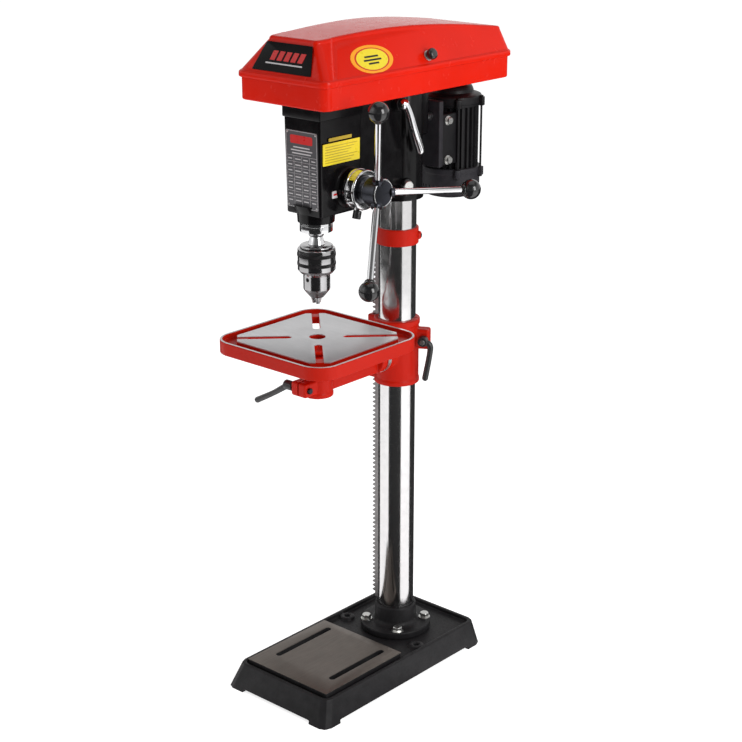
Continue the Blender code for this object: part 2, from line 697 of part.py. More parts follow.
def head_casting():
    half, front, back, draft = HEAD_HALF_WIDTH, HEAD_FRONT, -0.150, 0.001
    foot, top = (-half + draft, front + 0.003, half - draft, back), (-half - draft, front, half + draft, back)
    body = tapered(foot, top, HEAD_BOTTOM, HEAD_TOP, 0.006)
    web = block((-0.036, -0.155, 0.985), (0.036, -0.020, HEAD_TOP))
    rear = block((-0.042, -0.030, 1.070), (0.042, 0.042, HEAD_TOP), 0.006)
    socket = rod((0, 0, SOCKET_BOTTOM), (0, 0, HEAD_TOP - 0.001), SOCKET_RADIUS, sides=28)
    boss = rod((0, -THROAT, QUILL_BOSS_BOTTOM), (0, -THROAT, HEAD_BOTTOM + 0.02), QUILL_BOSS_RADIUS, sides=24)
    feed_boss = rod((-0.055, FEED_Y, FEED_HEIGHT), (FEED_BOSS_END, FEED_Y, FEED_HEIGHT), FEED_BOSS_RADIUS,
                    sides=24)
    pivot_boss = rod((0.030, *TENSION_PIVOT[1:]), (0.050, *TENSION_PIVOT[1:]), 0.013, sides=12)
    join(body, web, rear, socket, boss, feed_boss, pivot_boss)
    above = HEAD_TOP + 0.01
    cut(body,
        rod((0, 0, SOCKET_BOTTOM - 0.01), (0, 0, COLUMN_TOP + GAP), COLUMN_RADIUS + GAP, sides=28),
        rod((0, -THROAT, QUILL_BOSS_BOTTOM - 0.01), (0, -THROAT, QUILL_TOP + 0.015), QUILL_RADIUS + RUNNING,
            sides=24),
        rod((0, -THROAT, QUILL_TOP), (0, -THROAT, above), 0.0175, sides=20),
        rod((-0.0145, FEED_Y, FEED_HEIGHT), (FEED_BOSS_END + 0.01, FEED_Y, FEED_HEIGHT), 0.0172, sides=20),
        rod((-0.070, FEED_Y, FEED_HEIGHT), (0, FEED_Y, FEED_HEIGHT), 0.0094, sides=16),
        rod((-0.020, *TENSION_PIVOT[1:]), (0.060, *TENSION_PIVOT[1:]), 0.0074, sides=12))
    for side in (-1, 1):
        x = side * SLIDE_BAR_X
        bore = rod((x, -0.052, SLIDE_BAR_HEIGHT), (x, 0.06, SLIDE_BAR_HEIGHT), SLIDE_BAR_RADIUS + RUNNING,
                   sides=16)
        cut(body, bore)
    return part(body, "head_casting", BLACK_GLOSS)


def head_fittings():
    """Static pieces on the head's left side: the return spring's housing and the switch box."""
    x = -0.055 - GAP
    spring = turned([(0, 0.024), (0.012, 0.024), (0.014, 0.021), (0.029, 0.021), (0.0315, 0.018),
                     (0.0315, 0.0), (0.0285, 0.0), (0.0285, 0.017), (0.0098, 0.017), (0.0098, 0.020),
                     (0, 0.020)],
                    along((x, FEED_Y, FEED_HEIGHT), (-1, 0, 0)), 24)
    part(spring, "return_spring_housing", BLACK_GLOSS)
    left = -HEAD_HALF_WIDTH - 0.0015 - GAP
    box = block((left - SWITCH_BOX_DEPTH, BUTTON_Y - 0.035, 1.062), (left, BUTTON_Y + 0.035, 1.138),
                0.004, False)
    for height in BUTTON_HEIGHTS:
        cut(box, rod((left - 0.040, BUTTON_Y, height), (left - 0.012, BUTTON_Y, height), 0.0094, sides=16))
    gland_x, gland_y = left - 0.016, BUTTON_Y + 0.024
    gland = turned([(0, 1.070), (0.0085, 1.070), (0.0085, 1.056), (0.0055, 1.047), (0, 1.047)],
                   Matrix.Translation((gland_x, gland_y, 0)), 14)
    inlet = rod((gland_x, gland_y, 1.040), (gland_x, gland_y, 1.068), 0.0035, sides=10)
    cut(join(box, gland), inlet)
    part(box, "switch_box", BLACK_PLASTIC)
    for name, height, colour in (("start_button", BUTTON_HEIGHTS[1], GREEN_PLASTIC),
                                 ("stop_button", BUTTON_HEIGHTS[0], RED_PLASTIC)):
        axis = joint_axis(name + "_axis", (left - SWITCH_BOX_DEPTH, BUTTON_Y, height))
        button = turned([(0, 0.016), (0.0075, 0.016), (0.009, 0.0145), (0.009, 0.0), (0, 0.0)],
                        along((left - 0.020, BUTTON_Y, height), (-1, 0, 0)), 16)
        part(button, name, colour, axis)


# ---------------------------------------------------------------- quill, spindle and chuck

def quill(travel):
    seat, bore = 0.0265, 0.0185
    profile = [(bore, QUILL_TOP), (QUILL_RADIUS, QUILL_TOP), (QUILL_RADIUS, QUILL_BOTTOM),
               (seat, QUILL_BOTTOM), (seat, QUILL_BOTTOM + 0.016), (bore, QUILL_BOTTOM + 0.018)]
    tube = turned(profile, Matrix.Translation((0, -THROAT, 0)), 24)
    slot = block((-0.0065, -THROAT + 0.0235, 0.980), (0.0065, -THROAT + 0.034, QUILL_TOP + 0.01))
    length = 0.096
    outline = rack_outline(length, FEED_MODULE, 0.0225, QUILL_RACK_PITCH - 0.0022, QUILL_RACK_PITCH + 0.0018)
    rack_bottom = FEED_HEIGHT - rack_tooth_centre(length, FEED_MODULE, 0.024)
    teeth = slab(outline, 0.0130, axes((0, -THROAT, rack_bottom), (0, 1, 0), (0, 0, 1)))
    join(cut(tube, slot), teeth)
    part(tube, "quill", CHROME, travel)
    low, high, inner = QUILL_BOTTOM + GAP, QUILL_BOTTOM + 0.0133, SPINDLE_RADIUS + GAP
    ring = turned([(inner, high), (0.0262, high), (0.0262, low), (inner, low)],
                  Matrix.Translation((0, -THROAT, 0)), 20)
    part(ring, "quill_bearing", PLAIN_STEEL, travel)


def spindle(turning):
    arbor_top = SPINDLE_NOSE_BOTTOM + 0.024
    arbor_bore = 0.0098
    profile = [(0, SPINDLE_TOP), (SPINDLE_TOP_RADIUS - 0.001, SPINDLE_TOP),
               (SPINDLE_TOP_RADIUS, SPINDLE_TOP - 0.001), (SPINDLE_TOP_RADIUS, 1.100),
               (SPINDLE_RADIUS, 1.096), (SPINDLE_RADIUS, QUILL_BOTTOM - 0.0004),
               (0.0145, QUILL_BOTTOM - 0.0004), (0.0145, SPINDLE_NOSE_BOTTOM + 0.002),
               (0.013, SPINDLE_NOSE_BOTTOM),
               (arbor_bore, SPINDLE_NOSE_BOTTOM), (arbor_bore, arbor_top), (0, arbor_top)]
    part(turned(profile, Matrix.Translation((0, -THROAT, 0)), 20), "spindle", PLAIN_STEEL, turning)
    arbor = rod((0, -THROAT, CHUCK_TOP - 0.030), (0, -THROAT, arbor_top - GAP), 0.0095, sides=16)
    part(arbor, "chuck_arbor", PLAIN_STEEL, turning)


def jaw_line(number):
    """A jaw's tip and the direction that it opens in, up and out along its bore."""
    turn = radians(90 + 120 * number)
    out = Vector((cos(turn), sin(turn), 0))
    tip = Vector((0, -THROAT, JAW_TIP)) + out * JAW_TIP_OFFSET
    return tip, out * sin(JAW_LEAN) + Vector((0, 0, cos(JAW_LEAN)))


def chuck(turning):
    profile = [(0, CHUCK_TOP), (0.029, CHUCK_TOP), (0.0305, CHUCK_TOP - 0.0015),
               (0.0305, CHUCK_TOP - 0.0050), (0.0262, CHUCK_TOP - 0.0060),
               (0.0262, SLEEVE_BOTTOM + 0.004), (CHUCK_BODY_RADIUS, SLEEVE_BOTTOM),
               (CHUCK_BODY_RADIUS, 0.819), (0.0225, 0.8155), (0.0115, CHUCK_NOSE), (0, CHUCK_NOSE)]
    body = turned(profile, Matrix.Translation((0, -THROAT, 0)), 24)
    cut(body, rod((0, -THROAT, CHUCK_TOP - 0.0305), (0, -THROAT, CHUCK_TOP + 0.01), 0.0098, sides=16))
    for number in range(3):
        tip, opening = jaw_line(number)
        cut(body, rod(tip - opening * 0.01, tip + opening * 0.0585, JAW_RADIUS + RUNNING, sides=14))
    part(body, "chuck_body", DARK_METAL, turning)
    sleeve_top = CHUCK_TOP - 0.0065
    middle = (sleeve_top + SLEEVE_BOTTOM) / 2
    groove = 0.0335
    ring = turned([(0.0266, sleeve_top), (SLEEVE_RADIUS - 0.002, sleeve_top),
                   (SLEEVE_RADIUS, sleeve_top - 0.002), (SLEEVE_RADIUS, middle + 0.004),
                   (groove, middle + 0.002), (groove, middle - 0.002),
                   (SLEEVE_RADIUS, middle - 0.004), (SLEEVE_RADIUS, SLEEVE_BOTTOM + 0.006),
                   (SLEEVE_RADIUS - 0.002, SLEEVE_BOTTOM + 0.0045), (0.0266, SLEEVE_BOTTOM + 0.0045)],
                  Matrix.Translation((0, -THROAT, 0)), 28)
    sleeve_axis = joint_axis("sleeve_axis", (0, -THROAT, middle), turning)
    part(ring, "chuck_sleeve", DARK_METAL, sleeve_axis)
    for number in range(3):
        tip, opening = jaw_line(number)
        jaw_axis = joint_axis(f"jaw_axis_{number + 1}", tip, turning)
        jaw = rod(tip, tip + opening * JAW_LENGTH, JAW_RADIUS, sides=14)
        part(jaw, f"chuck_jaw_{number + 1}", PLAIN_STEEL, jaw_axis)


# ---------------------------------------------------------------- feed

def feed(turning):
    half_tooth = pi / FEED_TEETH
    place = axes((0, FEED_Y, FEED_HEIGHT), (0, 1, 0), (0, 0, 1)) @ Matrix.Rotation(half_tooth, 4, "Z")
    shaft = slab(gear_outline(FEED_TEETH, FEED_MODULE), 0.0115, place)
    join(shaft, rod((-0.072, FEED_Y, FEED_HEIGHT), (0.118, FEED_Y, FEED_HEIGHT), 0.0088, sides=16))
    part(shaft, "feed_pinion_shaft", PLAIN_STEEL, turning)
    inner, spigot, shoulder = 0.0090, 0.0168, FEED_BOSS_END + GAP
    shell = turned([(0, HUB_END), (HUB_RADIUS - 0.003, HUB_END), (HUB_RADIUS, HUB_END - 0.003),
                    (HUB_RADIUS, 0.098), (0.0235, 0.094), (0.0235, shoulder), (spigot, shoulder),
                    (spigot, 0.021), (0, 0.021)],
                   along((0, FEED_Y, FEED_HEIGHT), (1, 0, 0)), 26)
    cut(shell, rod((0.0, FEED_Y, FEED_HEIGHT), (0.1185, FEED_Y, FEED_HEIGHT), inner, sides=16))
    for angle in LEVER_ANGLES:
        root, direction = lever_line(angle)
        cut(shell, rod(root + direction * 0.016, root + direction * 0.045, LEVER_RADIUS + GAP, sides=12))
    part(shell, "feed_hub", DARK_METAL, turning)
    for number, angle in enumerate(LEVER_ANGLES, 1):
        root, direction = lever_line(angle)
        length = hypot(LEVER_REACH, LEVER_SPREAD)
        lever = rod(root + direction * 0.0165, root + direction * (length - 0.0155), LEVER_RADIUS, sides=14)
        part(lever, f"feed_lever_{number}", CHROME, turning)
        ball = turned(ball_profile(KNOB_RADIUS, 0.0155), along(root + direction * length, direction), 14)
        part(ball, f"lever_knob_{number}", BLACK_PLASTIC, turning)


def ball_profile(radius, flat):
    """A ball with a flat seat on its underside at distance flat from its centre."""
    start, end = pi / 2, -asin(flat / radius)
    points = [(radius * cos(start + (end - start) * i / 6), radius * sin(start + (end - start) * i / 6))
              for i in range(7)]
    return [(0, radius)] + points[1:] + [(0, points[-1][1])]


def lever_line(angle):
    root = Vector((LEVER_ROOT_X, FEED_Y, FEED_HEIGHT))
    direction = Vector((LEVER_SPREAD, LEVER_REACH * cos(angle), LEVER_REACH * sin(angle)))
    return root, direction.normalized()


def depth_stop(turning):
    ring_axis = joint_axis("depth_ring_axis", (RING_END - 0.01, FEED_Y, FEED_HEIGHT), turning)
    start = FEED_BOSS_END + 0.0008
    ring = turned([(0.0239, RING_END), (RING_RADIUS - 0.001, RING_END), (RING_RADIUS, RING_END - 0.001),
                   (RING_RADIUS, start), (0.0239, start)], along((0, FEED_Y, FEED_HEIGHT), (1, 0, 0)), 24)
    turn = radians(255)
    out = Vector((0, cos(turn), sin(turn)))
    centre = Vector(((RING_END + start) / 2, FEED_Y, FEED_HEIGHT))
    cut(ring, rod(centre + out * 0.020, centre + out * 0.05, 0.0034, sides=10))
    part(ring, "depth_ring", BRIGHT_ALUMINIUM, ring_axis)
    screw_axis = joint_axis("depth_screw_axis", centre + out * 0.04, ring_axis)
    screw = rod(centre + out * 0.0245, centre + out * 0.042, 0.0030, sides=10)
    join(screw, rod(centre + out * 0.0385, centre + out * 0.054, 0.0080, sides=12))
    part(screw, "depth_lock_screw", BLACK_PLASTIC, screw_axis)


# ---------------------------------------------------------------- belt drive and cover

def cover_outline(shrink=0.0):
    return rounded_rectangle((-COVER_HALF_WIDTH + shrink, COVER_FRONT + shrink),
                             (COVER_HALF_WIDTH - shrink, COVER_BACK - shrink), COVER_CORNER - shrink, 3)


def cover_pan():
    height = LID_BOTTOM - GAP - PAN_BOTTOM
    middle = PAN_BOTTOM + height / 2
    pan = slab(cover_outline(), height, Matrix.Translation((0, 0, middle)))
    cut(pan,
        slab(cover_outline(COVER_SHEET), height, Matrix.Translation((0, 0, middle + COVER_SHEET))),
        rod((0, -THROAT, 1.15), (0, -THROAT, 1.18), 0.024, sides=20),
        block((-0.024, MOTOR_Y - 0.046, 1.15), (0.024, MOTOR_Y + 0.022, 1.18), 0.012))
    shaft = rod((0, IDLER_Y, PAN_BOTTOM + 0.001), (0, IDLER_Y, PULLEY_BOTTOM - GAP), 0.016, sides=16)
    post = rod((0, IDLER_Y, PAN_BOTTOM + 0.001), (0, IDLER_Y, PULLEY_BOTTOM + 0.056), 0.0076, sides=16)
    join(pan, shaft, post)
    return part(pan, "belt_cover_pan", RED_PAINT)


def lid_section(shrink, lift):
    """The lid's four upper corners (x, y, z), from the front round to the back."""
    front, back = COVER_FRONT + 0.028, COVER_BACK - 0.012
    return ((0.060 - shrink, front + shrink, 1.279 - lift), (0.092 - shrink, back - shrink, 1.262 - lift))


def lid_form(shrink, bottom, ridge_drop):
    """A closed block of the lid's outer shape, its top arched from front to back."""
    stations = 6
    form = bmesh.new()
    rings = []
    (front_x, front_y, front_z), (back_x, back_y, back_z) = lid_section(shrink, ridge_drop)
    for i in range(stations + 1):
        part_way = i / stations
        x = front_x + (back_x - front_x) * part_way
        y_top = front_y + (back_y - front_y) * part_way
        z = front_z + (back_z - front_z) * part_way + 0.014 * sin(pi * part_way)
        low_x = COVER_HALF_WIDTH - shrink
        y_low = COVER_FRONT + shrink + (COVER_BACK - COVER_FRONT - 2 * shrink) * part_way
        rings.append([form.verts.new(place) for place in
                      ((-low_x, y_low, bottom), (low_x, y_low, bottom), (x, y_top, z), (-x, y_top, z))])
    for near, far in zip(rings, rings[1:]):
        for side in range(4):
            nxt = (side + 1) % 4
            form.faces.new((near[side], near[nxt], far[nxt], far[side]))
    form.faces.new(rings[0][::-1])
    form.faces.new(rings[-1])
    bmesh.ops.recalc_face_normals(form, faces=form.faces)
    return solid(form, "lid_form")


def cover_lid(swing):
    band_top = LID_BOTTOM + LID_BAND
    band = slab(cover_outline(-LID_FLANGE), LID_BAND, Matrix.Translation((0, 0, LID_BOTTOM + LID_BAND / 2)))
    shell = lid_form(0.0, band_top - 0.002, 0.0)
    inside = lid_form(COVER_SHEET, band_top - 0.003, COVER_SHEET)
    throat = slab(cover_outline(COVER_SHEET), LID_BAND + 0.004,
                  Matrix.Translation((0, 0, band_top - LID_BAND / 2 - 0.002)))
    join(band, shell)
    cut(band, throat, inside, knob_hole())
    part(band, "belt_cover_lid", RED_PAINT, swing)
    place, direction = lid_knob_line()
    knob = turned([(0, 0.016), (0.008, 0.0145), (0.011, 0.009), (0.0095, 0.003), (0.006, GAP), (0.0026, GAP),
                   (0.0026, -0.006), (0, -0.006)], along(place, direction), 12)
    part(knob, "lid_knob", BLACK_PLASTIC, swing)


def lid_knob_line():
    """Where the lid's knob sits on the sloping right side, and the side's outward direction."""
    y, z = -0.035, 1.2305
    part_way = (y - COVER_FRONT) / (COVER_BACK - COVER_FRONT)
    top_x = 0.060 + 0.032 * part_way
    top_z = 1.279 - 0.017 * part_way + 0.014 * sin(pi * part_way)
    low_z = LID_BOTTOM + LID_BAND - 0.002
    x = COVER_HALF_WIDTH + (top_x - COVER_HALF_WIDTH) * (z - low_z) / (top_z - low_z)
    normal = Vector((top_z - low_z, 0, COVER_HALF_WIDTH - top_x)).normalized()
    return Vector((x, y, z)) + normal * 0.0012, normal


def knob_hole():
    place, direction = lid_knob_line()
    return rod(place - direction * 0.01, place + direction * 0.01, 0.0032, sides=10)


def lid_hinge():
    """A hinge pin along the cover's left side, under the lid's flange."""
    x, z = HINGE_LINE
    pin = rod((x, -0.200, z), (x, 0.120, z), 0.0028, sides=10)
    for y in (-0.190, 0.110):
        join(pin, block((x - 0.001, y - 0.008, z - 0.012), (-COVER_HALF_WIDTH - GAP, y + 0.008, z + 0.001)))
    return part(pin, "lid_hinge_pin", DARK_METAL)


def pulley_profile(steps, bore):
    """A cone pulley's ring profile: every step is one V groove."""
    top = PULLEY_BOTTOM + STEP_HEIGHT * len(steps)
    outer = []
    for index in reversed(range(len(steps))):
        radius, low = steps[index], PULLEY_BOTTOM + STEP_HEIGHT * index
        high = low + STEP_HEIGHT
        outer += [(radius, high - 0.0012), (radius - GROOVE_DEPTH, high - 0.0062),
                  (radius - GROOVE_DEPTH, low + 0.0062), (radius, low + 0.0012)]
    return [(bore, top)] + outer + [(bore, PULLEY_BOTTOM)]


def pulleys(turnings):
    rows = (("spindle_pulley", SPINDLE_STEPS, -THROAT, SPINDLE_TOP_RADIUS + RUNNING),
            ("idler_pulley", IDLER_STEPS, IDLER_Y, 0.0076 + RUNNING),
            ("motor_pulley", MOTOR_STEPS, MOTOR_Y, 0.0078 + GAP))
    for (name, steps, y, bore), turning in zip(rows, turnings):
        wheel = turned(pulley_profile(steps, bore), Matrix.Translation((0, y, 0)), 24)
        part(wheel, name, BRIGHT_ALUMINIUM, turning)


def belt(name, step, first, second):
    """A V belt round two pulleys, given as (y, radius) of each."""
    (y1, r1), (y2, r2) = sorted((first, second))
    lean = asin((r1 - r2) / (y2 - y1))
    half = 0.0042
    z = PULLEY_BOTTOM + STEP_HEIGHT * (step + 0.5)
    outer, inner = [], []
    for ring, depth in ((outer, 0.0), (inner, BELT_DEPTH)):
        ring += arc((y1, 0), r1 - depth, pi / 2 - lean, 3 * pi / 2 + lean, 12)
        ring += arc((y2, 0), r2 - depth, -pi / 2 + lean, pi / 2 - lean, 12)
    form = bmesh.new()
    rows = []
    for ring, reach in ((outer, half), (outer, -half), (inner, -half + 0.0018), (inner, half - 0.0018)):
        rows.append([form.verts.new((across, y, z + reach)) for y, across in ring])
    for row, following in zip(rows, rows[1:] + rows[:1]):
        for i in range(len(row)):
            j = (i + 1) % len(row)
            form.faces.new((row[i], row[j], following[j], following[i]))
    bmesh.ops.recalc_face_normals(form, faces=form.faces)
    return part(solid(form, name), name, BELT_RUBBER)


def belts():
    front, rear = FRONT_BELT_STEP, REAR_BELT_STEP
    belt("front_belt", front, (-THROAT, SPINDLE_STEPS[front] + BELT_RIDE),
         (IDLER_Y, IDLER_STEPS[front] + BELT_RIDE))
    belt("rear_belt", rear, (IDLER_Y, IDLER_STEPS[rear] + BELT_RIDE),
         (MOTOR_Y, MOTOR_STEPS[rear] + BELT_RIDE))


# ---------------------------------------------------------------- motor

def motor(slide):
    plate = block((-0.050, PLATE_FRONT, 1.003), (0.050, PLATE_BACK, 1.130), 0.003)
    for side in (-1, 1):
        x = side * SLIDE_BAR_X
        cut(plate, rod((x, 0.05, SLIDE_BAR_HEIGHT), (x, 0.09, SLIDE_BAR_HEIGHT), SLIDE_BAR_RADIUS + GAP,
                       sides=16))
    part(plate, "motor_mount_plate", BLACK_IRON, slide)
    for name, side in (("slide_bar_left", -1), ("slide_bar_right", 1)):
        x = side * SLIDE_BAR_X
        bar = rod((x, -0.028, SLIDE_BAR_HEIGHT), (x, PLATE_BACK - 0.001, SLIDE_BAR_HEIGHT), SLIDE_BAR_RADIUS,
                  sides=16)
        part(bar, name, PLAIN_STEEL, slide)
    fins, outline = 18, []
    for fin in range(fins):
        middle = 2 * pi * fin / fins
        for turn, radius in ((-0.11, MOTOR_RADIUS - 0.004), (-0.06, MOTOR_RADIUS), (0.06, MOTOR_RADIUS),
                             (0.11, MOTOR_RADIUS - 0.004)):
            outline.append((radius * cos(middle + turn), radius * sin(middle + turn)))
    low, high = 0.990, 1.108
    frame = slab(outline, high - low, Matrix.Translation((0, MOTOR_Y, (low + high) / 2)))
    join(frame, block((-0.046, PLATE_BACK + GAP, 1.010), (0.046, MOTOR_Y - 0.030, 1.092)))
    part(frame, "motor_frame", BLACK_IRON, slide)
    bell, bottom = MOTOR_BELL_RADIUS, low - GAP
    lower = turned([(0, bottom), (bell, bottom), (bell, 0.950), (bell - 0.006, 0.938), (bell - 0.018, 0.930),
                    (0, 0.930)], Matrix.Translation((0, MOTOR_Y, 0)), 24)
    part(lower, "motor_fan_cover", BLACK_PLASTIC, slide)
    bottom = high + GAP
    shaft_bore = 0.0084
    upper = turned([(shaft_bore, 1.148), (0.034, 1.148), (0.041, 1.144), (0.043, 1.136), (0.043, 1.131),
                    (bell, 1.129), (bell, bottom), (0, bottom), (0, bottom + 0.012),
                    (shaft_bore, bottom + 0.012)],
                   Matrix.Translation((0, MOTOR_Y, 0)), 24)
    part(upper, "motor_end_bell", BLACK_IRON, slide)
    turning = joint_axis("motor_shaft_axis", (0, MOTOR_Y, 1.15), slide)
    shaft = rod((0, MOTOR_Y, bottom + 0.014), (0, MOTOR_Y, PULLEY_BOTTOM + 0.058), 0.0078, sides=16)
    part(shaft, "motor_shaft", PLAIN_STEEL, turning)
    return turning


def tension_lever():
    x, y, z = TENSION_PIVOT
    turn_axis = joint_axis("tension_axis", TENSION_PIVOT)
    shaft = rod((-0.018, y, z), (x + 0.004, y, z), 0.0070, sides=12)
    hub = rod((x - 0.0090, y, z), (x + 0.003, y, z), 0.0115, sides=14)
    blade = pipe([(x - 0.003, y, z), (x + 0.001, y + 0.010, z - 0.030), (x + 0.004, y + 0.040, z - 0.090)],
                 0.0066)
    return part(join(shaft, hub, blade), "tension_lever", PLAIN_STEEL, turn_axis)


# ---------------------------------------------------------------- the whole press

def build():
    base_casting()
    column_flange()
    column_tube()
    rack_collar()
    head_casting()
    head_fittings()
    cover_pan()
    lid_hinge()
    belts()
    tension_lever()

    swing = joint_axis("table_swing_axis", (0, 0, RACK_BOTTOM))
    column_rack(swing)
    lift = joint_axis("table_lift_axis", (0, 0, BRACKET_BOTTOM), swing)
    table_bracket(lift)
    tilt_bolt(lift)
    lift_gear(lift)
    lift_crank(lift)
    bracket_lock(lift)
    tilt = joint_axis("table_tilt_axis", (0, TILT_FACE, TILT_HEIGHT), lift)
    table_arm(tilt)
    table_lock(tilt)
    table(joint_axis("table_spin_axis", (0, -THROAT, TABLE_TOP), tilt))

    travel = joint_axis("quill_axis", (0, -THROAT, QUILL_BOTTOM))
    quill(travel)
    turning = joint_axis("spindle_axis", (0, -THROAT, SPINDLE_NOSE_BOTTOM), travel)
    spindle(turning)
    chuck(turning)

    feed_axis = joint_axis("feed_axis", (HUB_END, FEED_Y, FEED_HEIGHT))
    feed(feed_axis)
    depth_stop(feed_axis)

    cover_lid(joint_axis("lid_hinge_axis", (HINGE_LINE[0], 0, HINGE_LINE[1])))
    motor_slide = joint_axis("motor_slide_axis", (0, PLATE_FRONT, SLIDE_BAR_HEIGHT))
    motor_turning = motor(motor_slide)
    pulleys((joint_axis("spindle_pulley_axis", (0, -THROAT, PULLEY_BOTTOM)),
             joint_axis("idler_axis", (0, IDLER_Y, PULLEY_BOTTOM)), motor_turning))


clear_scene()
PARTS = new_collection(COLLECTION_NAME)
CUTTERS = new_collection("cutters")
RED_PAINT = paint("red_paint", RED, 0.28)
BLACK_IRON = paint("black_iron", BLACK, 0.55)
BLACK_GLOSS = paint("black_gloss", BLACK, 0.25)
BLACK_PLASTIC = paint("black_plastic", BLACK, 0.40)
GREEN_PLASTIC = paint("green_plastic", (0.03, 0.35, 0.08), 0.35)
RED_PLASTIC = paint("red_plastic", (0.60, 0.02, 0.02), 0.35)
CHROME = paint("chrome", STEEL, 0.12, 1.0)
PLAIN_STEEL = paint("plain_steel", STEEL, 0.35, 1.0)
DARK_METAL = paint("dark_steel", DARK_STEEL, 0.35, 1.0)
BRIGHT_ALUMINIUM = paint("aluminium", (0.75, 0.75, 0.76), 0.40, 1.0)
TABLE_IRON = paint("table_iron", RED, 0.35)
BELT_RUBBER = paint("belt_rubber", RUBBER, 0.75)
build()
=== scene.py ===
"""The looks of the drill press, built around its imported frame: fine meshes, materials, lights and camera."""

import json
from math import atan2, cos, pi, radians, sin, sqrt

import bmesh
import bpy
from mathutils import Matrix, Vector


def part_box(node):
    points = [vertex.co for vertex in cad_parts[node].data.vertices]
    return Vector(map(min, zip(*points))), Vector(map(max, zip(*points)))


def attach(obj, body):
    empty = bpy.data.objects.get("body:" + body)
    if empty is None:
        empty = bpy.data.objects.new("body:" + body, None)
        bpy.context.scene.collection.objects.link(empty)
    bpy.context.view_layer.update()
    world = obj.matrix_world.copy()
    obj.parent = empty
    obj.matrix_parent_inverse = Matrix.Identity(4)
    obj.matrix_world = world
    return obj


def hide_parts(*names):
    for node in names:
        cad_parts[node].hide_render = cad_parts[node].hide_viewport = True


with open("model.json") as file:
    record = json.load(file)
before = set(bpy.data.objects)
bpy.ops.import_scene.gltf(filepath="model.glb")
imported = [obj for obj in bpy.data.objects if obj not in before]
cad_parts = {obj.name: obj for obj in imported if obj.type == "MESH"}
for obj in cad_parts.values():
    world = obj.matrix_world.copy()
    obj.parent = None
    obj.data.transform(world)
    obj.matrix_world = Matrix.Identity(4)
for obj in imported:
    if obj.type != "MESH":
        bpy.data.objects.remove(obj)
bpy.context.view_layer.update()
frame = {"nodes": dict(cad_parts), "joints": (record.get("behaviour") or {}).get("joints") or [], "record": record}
JOINTS = {joint["name"]: joint for joint in frame["joints"]}
UP = Vector((0, 0, 1))
FINE = 96  # sides of a round piece that is seen closely
GAP = 0.0003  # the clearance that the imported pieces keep


class Extent:
    """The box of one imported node."""

    def __init__(self, node):
        self.low, self.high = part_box(node)
        self.mid = (self.low + self.high) / 2
        self.size = self.high - self.low


def axis_point(joint):
    return Vector(JOINTS[joint]["pos_m"])


def axis_direction(joint):
    return Vector(JOINTS[joint]["axis"])


BASE = Extent("base_casting")
FLANGE = Extent("column_flange")
COLUMN = Extent("column")
RACK = Extent("column_rack")
COLLAR = Extent("rack_collar")
BRACKET = Extent("table_bracket")
TABLE = Extent("table")
HEAD = Extent("head_casting")
QUILL = Extent("quill")
CHUCK = Extent("chuck_body")
SLEEVE = Extent("chuck_sleeve")
RING = Extent("depth_ring")
HUB = Extent("feed_hub")
PAN = Extent("belt_cover_pan")
LID = Extent("belt_cover_lid")
SWITCH = Extent("switch_box")
PLATE = Extent("motor_mount_plate")
BELL = Extent("motor_end_bell")
FAN = Extent("motor_fan_cover")
MOTOR = Extent("motor_frame")

COLUMN_RADIUS = COLUMN.size.x / 2
SPINDLE_Y = axis_point("spindle_spin").y
FEED = axis_point("feed_turn")
MOTOR_Y = axis_point("motor_spin").y
HEAD_SIDE = -SWITCH.high.x - GAP  # half the head's width where the plates sit
TABLE_TOP = TABLE.high.z
TABLE_HALF = TABLE.size.x / 2
RACK_TURN = atan2(RACK.mid.y, RACK.mid.x)
CLAMP_TURN = radians(30)  # the side of the bracket's clamp ears

BASE_PAD = Vector(next(m for m in frame["record"]["mounts"] if m["name"] == "base_pad")["pos_m"]).z
HEAD_FOOT = 0.962  # the lower end of the head's tapered front
HEAD_SCREW_HEIGHT = 0.9850
HEAD_SCREW_TURN = radians(-29)  # the side of the screw that clamps the head to the column
LEVER_REACH = 0.179  # from the hub's axis to a lever's knob
LEVER_RAKE = 0.070  # how far a lever leans out over its length
LEVER_LENGTH = sqrt(LEVER_REACH ** 2 + LEVER_RAKE ** 2)
LEVER_TURNS = (115.5, 235.5, 355.5)

FRONT, BACK = PAN.low.y, PAN.high.y  # the pan's outer faces
COVER_HALF = PAN.high.x
COVER_CORNER = 0.018
SHEET = 0.0025
LIP = LID.low.z
BAND_TOP = LIP + 0.012
LIP_REACH = LID.high.x - COVER_HALF
TOP_FRONT = Vector((0.060, FRONT + 0.028, 1.279))
TOP_BACK = Vector((0.092, BACK - 0.012, 1.262))
ARCH = 0.014
EDGE = 0.006  # the roundness of the lid's upper edge
EDGE_STEPS = 10  # points on half of the lid's front or back edge
OVAL_HALF = (0.052, 0.0225)

STEP = 0.018  # height of one pulley step
PULLEY_LOW = Extent("spindle_pulley").low.z
GROOVE = 0.007

FINS = 28
EAR_TURNS = tuple(radians(a) for a in (22, 142, 202, 322))

FLOOR_GLOW = 0.75  # the paper lies on a light table
CAMERA_AZIMUTH = radians(41.6)  # from the operator's side towards the feed levers
CAMERA_PITCH = radians(19.0)
CAMERA_TURN = CAMERA_AZIMUTH - pi / 2  # the same direction, measured from +X
CAMERA_PLACE = (2.0499, -2.3852, 1.6822)
CAMERA_LENS = 81.75


# ---------------------------------------------------------------- shapes

def new_object(name, mesh):
    made = bpy.data.objects.new(name, mesh)
    bpy.context.scene.collection.objects.link(made)
    return made


def from_form(form, name="form", place=None):
    """An object from a bmesh, which is freed."""
    if place is not None:
        form.transform(place)
    mesh = bpy.data.meshes.new(name)
    form.to_mesh(mesh)
    form.free()
    return new_object(name, mesh)


